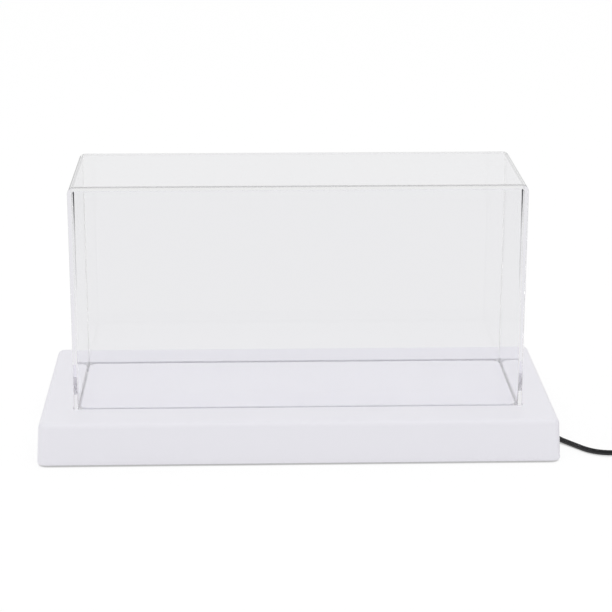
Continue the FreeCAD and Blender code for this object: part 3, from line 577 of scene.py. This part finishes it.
def looped_fabric(finishes):
    """Hook-and-loop band: napped loops that scatter light, dull with a faint sheen at its edges."""
    material, tree, place = new_material("Looped black nylon")
    # The loops are drawn about twice as coarse as real ones, so that they show.
    loops = add_node(tree, "TexVoronoi", {"Scale": per_size(0.7)}, {"Vector": place})
    bump = add_node(tree, "Bump", {"Strength": 0.8, "Distance": 0.12 * MM}, {"Height": loops})
    tone = add_node(tree, "Mix", {"A": finishes.strap, "B": scaled(finishes.strap, 2.2)}, {"Factor": loops},
                    data_type="RGBA")
    cloth = add_node(tree, "BsdfPrincipled", {"Roughness": 0.9, "Sheen Weight": 0.3, "Sheen Roughness": 0.4},
                     {"Base Color": tone, "Normal": bump})
    add_node(tree, "OutputMaterial", links={"Surface": cloth})
    return material


# Pieces and outlines


def finish_nodes(material, *names):
    """Give nodes of the part their material."""
    for name in names:
        mesh = frame["nodes"][name].data
        mesh.materials.clear()
        mesh.materials.append(material)


def solid_boxes(name):
    """Lowest and highest corner of each solid in a node of the part."""
    build = bmesh.new()
    build.from_mesh(frame["nodes"][name].data)
    bmesh.ops.remove_doubles(build, verts=build.verts, dist=0.001 * MM)
    build.verts.index_update()
    seen = set()
    boxes = []
    for vert in build.verts:
        if vert.index in seen:
            continue
        seen.add(vert.index)
        group = [vert]
        for member in group:
            for edge in member.link_edges:
                other = edge.other_vert(member)
                if other.index not in seen:
                    seen.add(other.index)
                    group.append(other)
        low = Vector([min(v.co[axis] for v in group) for axis in range(3)])
        high = Vector([max(v.co[axis] for v in group) for axis in range(3)])
        boxes.append((low, high))
    build.free()
    return boxes


def add_piece(name, build, materials, body, slot, *replaced):
    """Make a piece of the object from a mesh under construction, smooth up to its sharp edges."""
    for face in build.faces:
        face.smooth = True
    for edge in build.edges:
        edge.smooth = edge.calc_face_angle(math.pi) < SHARP_ANGLE
    mesh = bpy.data.meshes.new(name)
    build.to_mesh(mesh)
    build.free()
    for material in materials:
        mesh.materials.append(material)
    piece = bpy.data.objects.new(name, mesh)
    bpy.context.scene.collection.objects.link(piece)
    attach(piece, body)
    if replaced:
        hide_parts(*replaced)


def rounded_loop(half_width, half_height, radius, steps):
    """Points of a closed rounded rectangle, counter-clockwise from the top of its right side."""
    right = half_width - radius
    top = half_height - radius
    points = []
    for x, y, start in ((right, top, 0.0), (-right, top, 90.0), (-right, -top, 180.0), (right, -top, 270.0)):
        for step in range(steps + 1):
            angle = math.radians(start + 90.0 * step / steps)
            points.append(Vector((x + radius * math.cos(angle), y + radius * math.sin(angle))))
    return points


def circle(radius, count):
    """Points of a circle, counter-clockwise."""
    angles = [math.tau * index / count for index in range(count)]
    return [Vector((radius * math.cos(angle), radius * math.sin(angle))) for angle in angles]


def join_rings(build, rings, merge=False):
    """Faces between closed rings of equal count; merge is for a ring that is one point, repeated."""
    for ring, following in zip(rings, rings[1:]):
        for index in range(len(ring)):
            after = (index + 1) % len(ring)
            corners = (ring[index], ring[after], following[after], following[index])
            build.faces.new(list(dict.fromkeys(corners)) if merge else corners)


# The lead, its coil and its strap


def lead_points(sizes):
    """Every point of the lead in metres: the route, the coil's loops, the switch and the plug's entry."""
    low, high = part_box("strain_relief")
    start = Vector(((low.x + high.x) / 2, high.y, (low.z + high.z) / 2))
    return [start] + [Vector(point) * MM for point in LEAD_ROUTE] + coil_points(sizes) + tail_points(sizes)


def coil_start(sizes):
    """Middle of the coil at the height of its lower layer, and the angle at which the lead joins it."""
    before, entry = [Vector(point) * MM for point in LEAD_ROUTE[-2:]]
    heading = (entry - before).normalized()
    side = Vector((-heading.y, heading.x, 0.0))
    start = entry + heading * sizes.diameter
    return start + side * sizes.coil_radius, math.atan2(-side.y, -side.x)


def round_coil(turn):
    """Directions outward and onward at an angle round the coil."""
    return Vector((math.cos(turn), math.sin(turn), 0.0)), Vector((-math.sin(turn), math.cos(turn), 0.0))


def coil_points(sizes):
    """Points of the coil: it spirals in, climbs to the upper layer at the reversal and spirals out.

    The smooth line touches the middles of the runs between its points, so they stand round the loops.
    """
    centre, first = coil_start(sizes)
    total = sizes.coil_turns * math.tau
    reversal = total / 2
    count = round(sizes.coil_turns * sizes.points_per_turn)
    spread = 1.0 / math.cos(total / count / 2)
    points = []
    for index in range(count):
        angle = total * (index + 0.5) / count
        radius = sizes.coil_radius - sizes.coil_pitch * (reversal - abs(angle - reversal)) / math.tau
        climb = min(max((angle - reversal) / math.pi + 0.5, 0.0), 1.0)
        rise = sizes.coil_rise * climb * climb * (3.0 - 2.0 * climb)
        outward = round_coil(first + angle)[0]
        points.append(centre + outward * radius * spread + UP * rise)
    return points


def tail_points(sizes):
    """From the coil through the hand switch to the plug, on the middles of the parts it meets."""
    centre, first = coil_start(sizes)
    outward, heading = round_coil(first + sizes.coil_turns * math.tau)
    leaving = centre + outward * sizes.coil_radius + heading * sizes.diameter + UP * sizes.coil_rise

    switch_low, switch_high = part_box("switch_case_lower")
    plug_low, plug_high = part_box("plug_body")
    switch_x = (switch_low.x + switch_high.x) / 2
    near = Vector((switch_x, switch_low.y, switch_high.z))
    far = Vector((switch_x, switch_high.y, switch_high.z))
    end = Vector(((plug_low.x + plug_high.x) / 2, plug_low.y, (plug_low.z + plug_high.z) / 2))
    run = (near.y - leaving.y) / 3
    step = Vector((0.0, (end.y - far.y) / 3, 0.0))
    return [leaving, leaving + heading * run, near - Vector((0.0, run, 0.0)), near,
            far, far + step, end - step, end]


def strap_mesh(sizes):
    """Band once round the coil's loops, then on over its first corner and part of the way along the top."""
    centre, first = coil_start(sizes)
    outward, along = round_coil(first + sizes.strap_turn)
    solid = [vert.co for vert in frame["nodes"]["coil_strap"].data.vertices]
    reach = [(point - centre).dot(outward) for point in solid]
    width = [(point - centre).dot(along) for point in solid]
    height = [point.z for point in solid]
    middle = centre + outward * (max(reach) + min(reach)) / 2
    middle.z = (max(height) + min(height)) / 2

    half = sizes.strap_thickness / 2
    steps = 4
    loop = rounded_loop((max(reach) - min(reach)) / 2 - half, (max(height) - min(height)) / 2 - half,
                        sizes.strap_round + half, steps)
    overlap = (0.3, 0.6, 0.75)
    over = loop[:steps + 1] + [loop[steps].lerp(loop[steps + 1], share) for share in overlap]
    path = loop + over
    # The end lies just clear of the first turn.
    lift = [0.0] * len(loop) + [2.1 * half] * len(over)

    section = rounded_loop((max(width) - min(width)) / 2, half, 0.8 * half, 2)
    build = bmesh.new()
    rings = []
    for index, point in enumerate(path):
        ahead = path[min(index + 1, len(path) - 1)] - path[max(index - 1, 0)]
        normal = Vector((ahead.y, -ahead.x)).normalized()
        ring = []
        for across, depth in section:
            flat = point + normal * (depth + lift[index])
            ring.append(build.verts.new(middle + outward * flat.x + UP * flat.y + along * across))
        rings.append(ring)
    join_rings(build, rings)
    build.faces.new(rings[0])
    build.faces.new(rings[-1])
    bmesh.ops.recalc_face_normals(build, faces=build.faces)
    return build


class CASE_OT_strap(bpy.types.Operator):
    """Tie the coil with its strap, whose end overlaps on top"""

    bl_idname = "display_case.strap"
    bl_label = "Tie the coil"

    def execute(self, context):
        band = strap_mesh(context.scene.case_lead)
        fabric = looped_fabric(context.scene.case_finishes)
        add_piece("coil_tie", band, [fabric], "base", "strap_fabric", "coil_strap")
        return {"FINISHED"}


class CASE_OT_lead(bpy.types.Operator):
    """Lay the supply lead from the base through its coil to the plug"""

    bl_idname = "display_case.lead"
    bl_label = "Lay the lead"

    def execute(self, context):
        sizes = context.scene.case_lead
        points = lead_points(sizes)
        curve = bpy.data.curves.new("supply_lead", "CURVE")
        curve.dimensions = "3D"
        curve.bevel_depth = sizes.diameter / 2
        curve.bevel_resolution = 6
        curve.resolution_u = 6
        curve.use_fill_caps = True
        spline = curve.splines.new("NURBS")
        spline.points.add(len(points) - 1)
        for target, point in zip(spline.points, points):
            target.co = (*point, 1.0)
        spline.order_u = 3
        spline.use_endpoint_u = True
        lead = bpy.data.objects.new("supply_lead", curve)
        context.scene.collection.objects.link(lead)
        pvc = flexible_pvc(context.scene.case_finishes)
        curve.materials.append(pvc)
        finish_nodes(pvc, "strain_relief", "lead_inner", "plug_body")
        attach(lead, "base")
        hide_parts("lead_free_run", "lead_coil", "lead_to_switch", "lead_to_plug")
        return {"FINISHED"}


# The cover and the base


class CASE_OT_cover(bpy.types.Operator):
    """Finish the clear cover"""

    bl_idname = "display_case.cover"
    bl_label = "Finish the cover"

    def execute(self, context):
        acrylic = clear_cast_acrylic(context.scene.case_finishes, context.scene.case_cover)
        finish_nodes(acrylic, "cover_wrap", "cover_front_panel", "cover_back_panel")
        return {"FINISHED"}


class CASE_OT_base(bpy.types.Operator):
    """Finish the base, its floor panel, its bottom plate and its feet"""

    bl_idname = "display_case.base"
    bl_label = "Finish the base"

    def execute(self, context):
        finishes = context.scene.case_finishes
        marks = context.scene.case_cover
        finish_nodes(white_abs(finishes, marks), "base_shell", "bottom_plate", "lead_clamp_bar")
        finish_nodes(opal_acrylic(finishes, marks), "floor_panel")
        finish_nodes(foot_rubber(finishes), "rubber_feet")
        return {"FINISHED"}


# The lights


def plain_box(build, low, high):
    """Corners of a new box between two points."""
    place = Matrix.Translation((low + high) / 2) @ Matrix.Diagonal((*(high - low), 1.0))
    return bmesh.ops.create_cube(build, size=1.0, matrix=place)["verts"]


def eased_block(build, low, high, material_index):
    """Box between two points with its arrises eased by about an eighth of its smallest side."""
    corners = plain_box(build, low, high)
    edges = []
    for corner in corners:
        edges += [edge for edge in corner.link_edges if edge not in edges]
    for corner in corners:
        for face in corner.link_faces:
            face.material_index = material_index
    bmesh.ops.bevel(build, geom=edges, offset=0.12 * min(high - low), segments=2, profile=0.5, affect="EDGES")


def housing(build, low, high, rim):
    """Box with a window sunk into its top, whose floor has the second material."""
    corners = plain_box(build, low, high)
    build.normal_update()
    top = max(max(corners, key=lambda corner: corner.co.z).link_faces, key=lambda face: face.normal.z)
    # The flat rim, then the sloping wall down to the window
    for thickness, depth in ((rim, 0.0), (0.2 * rim, -0.3 * rim)):
        bmesh.ops.inset_individual(build, faces=[top], thickness=thickness, depth=depth, use_even_offset=True)
    top.material_index = 1


def diode_mesh(sizes):
    """Housings with a sunk phosphor window, and a low solder tab of the third material at each end."""
    build = bmesh.new()
    tab = sizes.diode_tab
    for low, high in solid_boxes("light_diodes"):
        housing(build, low + Vector((tab, 0.0, 0.0)), high - Vector((tab, 0.0, 0.0)), sizes.diode_rim)
        tab_top = high.z - 0.7 * (high.z - low.z)
        for x in (low.x, high.x - tab):
            eased_block(build, Vector((x, low.y + tab, low.z)), Vector((x + tab, high.y - tab, tab_top)), 2)
    return build


def resistor_mesh(sizes):
    """Bodies between metal end caps, which have the second material."""
    build = bmesh.new()
    for low, high in solid_boxes("board_resistors"):
        left = low.x + sizes.cap_length
        right = high.x - sizes.cap_length
        step = sizes.cap_step
        eased_block(build, Vector((left, low.y + step, low.z)),
                    Vector((right, high.y - step, high.z - step)), 0)
        eased_block(build, low, Vector((left, high.y, high.z)), 1)
        eased_block(build, Vector((right, low.y, low.z)), high, 1)
    return build


class CASE_OT_lights(bpy.types.Operator):
    """Finish the light boards and their wires, and make the diodes and resistors on them"""

    bl_idname = "display_case.lights"
    bl_label = "Make the lights"

    def execute(self, context):
        finishes = context.scene.case_finishes
        sizes = context.scene.case_fittings
        finish_nodes(solder_mask(finishes), "light_board_front", "light_board_rear")
        finish_nodes(red_insulation(finishes), "link_wire_red", "supply_wire_red")
        finish_nodes(black_insulation(finishes), "link_wire_black", "supply_wire_black")
        tin = tinned_metal(finishes)
        add_piece("diode_set", diode_mesh(sizes), [white_polyamide(finishes), phosphor_gel(finishes), tin],
                  "base", "diode_resin", "light_diodes")
        add_piece("resistor_set", resistor_mesh(sizes), [resistor_coat(finishes), tin],
                  "base", "resistor_black", "board_resistors")
        return {"FINISHED"}


# The screws


def screw_mesh(sizes, head_radius, head_height, shank_radius, length):
    """Pan-head screw standing on its head: domed head, helical thread, point, and a cross recess below."""
    rows = [(across * head_radius, up * head_height) for across, up in HEAD_OUTLINE]
    rows.append((shank_radius, head_height))
    threaded = len(rows)
    step = sizes.thread_pitch / 4
    point_length = 1.2 * shank_radius
    z = head_height + step
    while z < length - point_length:
        rows.append((shank_radius, z))
        z += step
    rows.append((0.75 * shank_radius, length - 0.6 * point_length))
    rows.append((0.0, length))
    segments = 24
    build = bmesh.new()
    rings = []
    for index, (radius, z) in enumerate(rows):
        if radius == 0.0:
            rings.append([build.verts.new((0.0, 0.0, z))] * segments)
            continue
        ring = []
        for segment in range(segments):
            share = segment / segments
            sunk = 0.0
            if threaded <= index < len(rows) - 2:
                sunk = sizes.thread_depth * abs(2.0 * ((z / sizes.thread_pitch - share) % 1.0) - 1.0)
            across = radius - sunk
            angle = math.tau * share
            ring.append(build.verts.new((across * math.cos(angle), across * math.sin(angle), z)))
        rings.append(ring)
    join_rings(build, rings, merge=True)
    bmesh.ops.recalc_face_normals(build, faces=build.faces)
    return with_cross_recess(build, sizes, head_radius)


def with_cross_recess(build, sizes, head_radius):
    """Mesh of a screw with a tapered cross cut into its head."""
    half = sizes.recess_width / 2
    reach = 0.6 * head_radius
    outline = [(half, half), (half, reach), (-half, reach), (-half, half), (-reach, half), (-reach, -half),
               (-half, -half), (-half, -reach), (half, -reach), (half, -half), (reach, -half), (reach, half)]
    cutter = bmesh.new()
    # Height and scale of the cutter's two ends, the first just outside the head
    ends = ((-0.2 * MM, 1.1), (sizes.recess_depth, 0.55))
    rings = [[cutter.verts.new((x * share, y * share, z)) for x, y in outline] for z, share in ends]
    join_rings(cutter, rings)
    cutter.faces.new(rings[0])
    cutter.faces.new(rings[1])
    bmesh.ops.recalc_face_normals(cutter, faces=cutter.faces)
    objects = []
    for name, source in (("screw", build), ("recess", cutter)):
        mesh = bpy.data.meshes.new(name)
        source.to_mesh(mesh)
        source.free()
        item = bpy.data.objects.new(name, mesh)
        bpy.context.scene.collection.objects.link(item)
        objects.append(item)
    cut = objects[0].modifiers.new("recess", "BOOLEAN")
    cut.object = objects[1]
    cut.operation = "DIFFERENCE"
    bpy.context.view_layer.update()
    result = bpy.data.meshes.new_from_object(objects[0].evaluated_get(bpy.context.evaluated_depsgraph_get()))
    for item in objects:
        bpy.data.meshes.remove(item.data)
    return result


class CASE_OT_fasteners(bpy.types.Operator):
    """Make the screws of the bottom plate, the lead's clamp and the switch"""

    bl_idname = "display_case.fasteners"
    bl_label = "Make the screws"

    def execute(self, context):
        sizes = context.scene.case_fittings
        zinc = zinc_plate(context.scene.case_finishes)
        for name, (head_height, shank_radius, head_on_top) in SCREW_SETS.items():
            turn = Matrix.Rotation(math.pi if head_on_top else 0.0, 4, "X")
            build = bmesh.new()
            for low, high in solid_boxes(name):
                head_radius = (high.x - low.x) / 2
                mesh = screw_mesh(sizes, head_radius, head_height * MM, shank_radius * MM, high.z - low.z)
                middle = (low + high) / 2
                middle.z = high.z if head_on_top else low.z
                mesh.transform(Matrix.Translation(middle) @ turn)
                build.from_mesh(mesh)
                bpy.data.meshes.remove(mesh)
            add_piece(name + "_turned", build, [zinc], "base", "zinc_steel", name)
        return {"FINISHED"}


# The switch and the plug


def printed_mark(sizes, outline, hole, side):
    """Thin film of ink on one half of the rocker, which the rocker's own faces place."""
    mesh = frame["nodes"]["switch_rocker"].data
    joint = next(item for item in frame["joints"] if item["child"] == "rocker")
    pivot = Vector(joint["pos_m"])
    face = max((polygon for polygon in mesh.polygons
                if polygon.normal.z > 0.8 and (polygon.center.y - pivot.y) * side > 0.0),
               key=lambda polygon: polygon.center.z)
    normal = face.normal.normalized()
    across = Vector((1.0, 0.0, 0.0))
    along = normal.cross(across)
    middle = pivot + along * sizes.mark_reach * side
    middle += normal * (face.center - middle).dot(normal)
    build = bmesh.new()

    def film(points, lift):
        return [build.verts.new(middle + across * p.x + along * p.y + normal * lift) for p in points]

    loops = [outline] + ([hole] if hole else [])
    tops = [film(points, sizes.ink_height) for points in loops]
    bottoms = [film(points, -sizes.ink_depth) for points in loops]
    for top, bottom in zip(tops, bottoms):
        join_rings(build, [bottom, top])
    for layer in (tops, bottoms):
        if hole:
            join_rings(build, layer)
        else:
            build.faces.new(layer[0])
    bmesh.ops.recalc_face_normals(build, faces=build.faces)
    return build


class CASE_OT_switch(bpy.types.Operator):
    """Finish the hand switch and print the marks on its rocker"""

    bl_idname = "display_case.switch"
    bl_label = "Finish the switch"

    def execute(self, context):
        finishes = context.scene.case_finishes
        sizes = context.scene.case_fittings
        finish_nodes(switch_abs(finishes), "switch_case_lower", "switch_case_upper")
        finish_nodes(rocker_abs(finishes), "switch_rocker")
        ink = printed_ink(finishes)
        half = sizes.mark_size / 2
        stroke = sizes.mark_stroke
        bar = rounded_loop(stroke / 2, half, 0.4 * stroke, 3)
        ring = circle(half, 32)
        hole = circle(half - stroke, 32)
        add_piece("rocker_mark_on", printed_mark(sizes, bar, None, 1), [ink], "rocker", "rocker_abs")
        add_piece("rocker_mark_off", printed_mark(sizes, ring, hole, -1), [ink], "rocker", "rocker_abs")
        return {"FINISHED"}


class CASE_OT_plug(bpy.types.Operator):
    """Finish the plug's metal shell, its tongue and its contacts"""

    bl_idname = "display_case.plug"
    bl_label = "Finish the plug"

    def execute(self, context):
        finishes = context.scene.case_finishes
        finish_nodes(rolled_nickel(finishes), "plug_shell")
        finish_nodes(white_polyamide(finishes), "plug_tongue")
        finish_nodes(plated_gold(finishes), "plug_contacts")
        return {"FINISHED"}


# The stage


def make_camera(context, stage):
    """Camera at the photograph's place."""
    data = bpy.data.cameras.new("camera")
    data.sensor_width = SENSOR_WIDTH
    data.lens = stage.lens
    camera = bpy.data.objects.new("camera", data)
    context.scene.collection.objects.link(camera)
    aim = Euler((math.pi / 2 - stage.camera_down, 0.0, -stage.camera_aside)).to_matrix()
    aim = aim @ Matrix.Rotation(stage.camera_roll, 3, "Z")
    camera.matrix_world = Matrix.Translation(stage.camera_place) @ aim.to_4x4()
    return camera


def dimming(tree, place, limits, stage):
    """1 at the backdrop, going down to the studio's levels away from it."""
    axes = split_place(tree, place)
    return folded(tree, "MULTIPLY", *[fade(tree, axes[name], start, end, getattr(stage, level))
                                      for name, (start, end, level) in limits.items()])


def make_sky(scene, stage):
    """Even light from all round: white to the eye, pale through glass, a backdrop in a dim room in gloss."""
    world = bpy.data.worlds.new("soft studio")
    world.use_nodes = True
    tree = world.node_tree
    tree.nodes.clear()
    path = add_node(tree, "LightPath").outputs
    room = dimming(tree, add_node(tree, "TexCoord").outputs["Generated"], SKY_DIMS, stage)
    studio = add_node(tree, "Math", {1: stage.backdrop_level}, {0: room}, operation="MULTIPLY")
    gloss = add_node(tree, "Mix", {"A": stage.sky_level}, {"Factor": path["Is Glossy Ray"], "B": studio})
    glass = add_node(tree, "Mix", {"B": stage.backdrop_level},
                     {"Factor": path["Is Transmission Ray"], "A": gloss})
    level = add_node(tree, "Mix", {"B": 1.0}, {"Factor": path["Is Camera Ray"], "A": glass})
    sky = add_node(tree, "Background", {"Color": WHITE}, {"Strength": level})
    add_node(tree, "OutputWorld", links={"Surface": sky})
    scene.world = world


def paper_sweep(stage):
    """White paper floor: mostly plain white where it is looked at, with a share that takes the shadow, and a
    contact shadow painted in from ambient occlusion.
    """
    material, tree, place = new_material("White paper sweep")
    paper = add_node(tree, "BsdfDiffuse", {"Color": linear("F7F7F7")})
    contact = add_node(tree, "AmbientOcclusion", {"Distance": stage.contact_reach}, samples=16)
    contact_shade = add_node(tree, "MapRange", {"From Min": 0.1, "From Max": 0.45, "To Min": 0.5, "To Max": 1.0},
                   {"Value": contact.outputs["AO"]})

    # To the eye: white, with a painted contact shadow only where the base nearly touches it.
    lit = add_node(tree, "BsdfDiffuse", {"Color": WHITE})
    white = add_node(tree, "Emission", links={"Strength": contact_shade})
    plain = add_node(tree, "MixShader", {0: stage.shadow_share}, {1: white, 2: lit})

    # Through glass: a pale floor. In gloss it grows dimmer towards the front and the sides.
    clear = add_node(tree, "Math", {1: stage.backdrop_level}, {0: contact_shade}, operation="MULTIPLY")
    room = folded(tree, "MULTIPLY", clear, dimming(tree, place, FLOOR_DIMS, stage))
    path = add_node(tree, "LightPath").outputs
    studio = add_node(tree, "Mix", links={"Factor": path["Is Transmission Ray"], "A": room, "B": clear})
    backdrop = add_node(tree, "Emission", links={"Strength": studio})
    glassy = add_node(tree, "MixShader", links={0: path["Is Glossy Ray"], 1: paper, 2: backdrop})
    mixed = add_node(tree, "MixShader", links={0: path["Is Camera Ray"], 1: glassy, 2: plain})
    add_node(tree, "OutputMaterial", links={"Surface": mixed})
    return material


def make_floor(context, stage):
    """Large flat floor just under the feet."""
    mesh = bpy.data.meshes.new("floor")
    build = bmesh.new()
    bmesh.ops.create_grid(build, x_segments=1, y_segments=1, size=stage.floor_size / 2)
    build.to_mesh(mesh)
    build.free()
    mesh.materials.append(paper_sweep(stage))
    floor = bpy.data.objects.new("floor", mesh)
    floor.location.z = -stage.floor_drop
    context.scene.collection.objects.link(floor)


def make_lamps(context, stage):
    """Large soft lamps: one overhead, and two above, left and right of the camera."""
    aim = UP * stage.lamp_aim
    for name, (place, setting) in LAMPS.items():
        data = bpy.data.lights.new(name, "AREA")
        data.shape = "SQUARE"
        data.size = stage.lamp_size
        data.energy = getattr(stage, setting)
        lamp = bpy.data.objects.new(name, data)
        lamp.location = place
        lamp.rotation_euler = (aim - Vector(place)).to_track_quat("-Z", "Y").to_euler()
        context.scene.collection.objects.link(lamp)


class CASE_OT_stage(bpy.types.Operator):
    """Set the camera, the soft light and the white floor"""

    bl_idname = "display_case.stage"
    bl_label = "Set the stage"

    def execute(self, context):
        stage = context.scene.case_stage
        context.scene.view_settings.view_transform = "Standard"
        context.scene.camera = make_camera(context, stage)
        make_sky(context.scene, stage)
        make_floor(context, stage)
        make_lamps(context, stage)
        return {"FINISHED"}


class CASE_PT_panel(bpy.types.Panel):
    """Lists the steps that finish the case"""

    bl_idname = "CASE_PT_panel"
    bl_label = "Display case"
    bl_space_type = "VIEW_3D"
    bl_region_type = "UI"
    bl_category = "Display case"

    def draw(self, context):
        for operator in OPERATORS:
            self.layout.operator(operator.bl_idname)


OPERATORS = (CASE_OT_stage, CASE_OT_cover, CASE_OT_base, CASE_OT_lights, CASE_OT_fasteners, CASE_OT_strap,
             CASE_OT_switch, CASE_OT_plug, CASE_OT_lead)
GROUPS = {"case_finishes": CaseFinishes, "case_cover": CoverShadeAndJoints, "case_lead": LeadSizes,
          "case_fittings": FittingSizes, "case_stage": StageSettings}
CLASSES = tuple(GROUPS.values()) + OPERATORS + (CASE_PT_panel,)


def register():
    for item in CLASSES:
        bpy.utils.register_class(item)
    for name, group in GROUPS.items():
        setattr(bpy.types.Scene, name, PointerProperty(type=group))


def unregister():
    for name in GROUPS:
        delattr(bpy.types.Scene, name)
    for item in reversed(CLASSES):
        bpy.utils.unregister_class(item)


def main():
    register()
    bpy.ops.display_case.stage()
    bpy.ops.display_case.cover()
    bpy.ops.display_case.base()
    bpy.ops.display_case.lights()
    bpy.ops.display_case.fasteners()
    bpy.ops.display_case.strap()
    bpy.ops.display_case.switch()
    bpy.ops.display_case.plug()
    bpy.ops.display_case.lead()


if __name__ == "__main__":
    main()
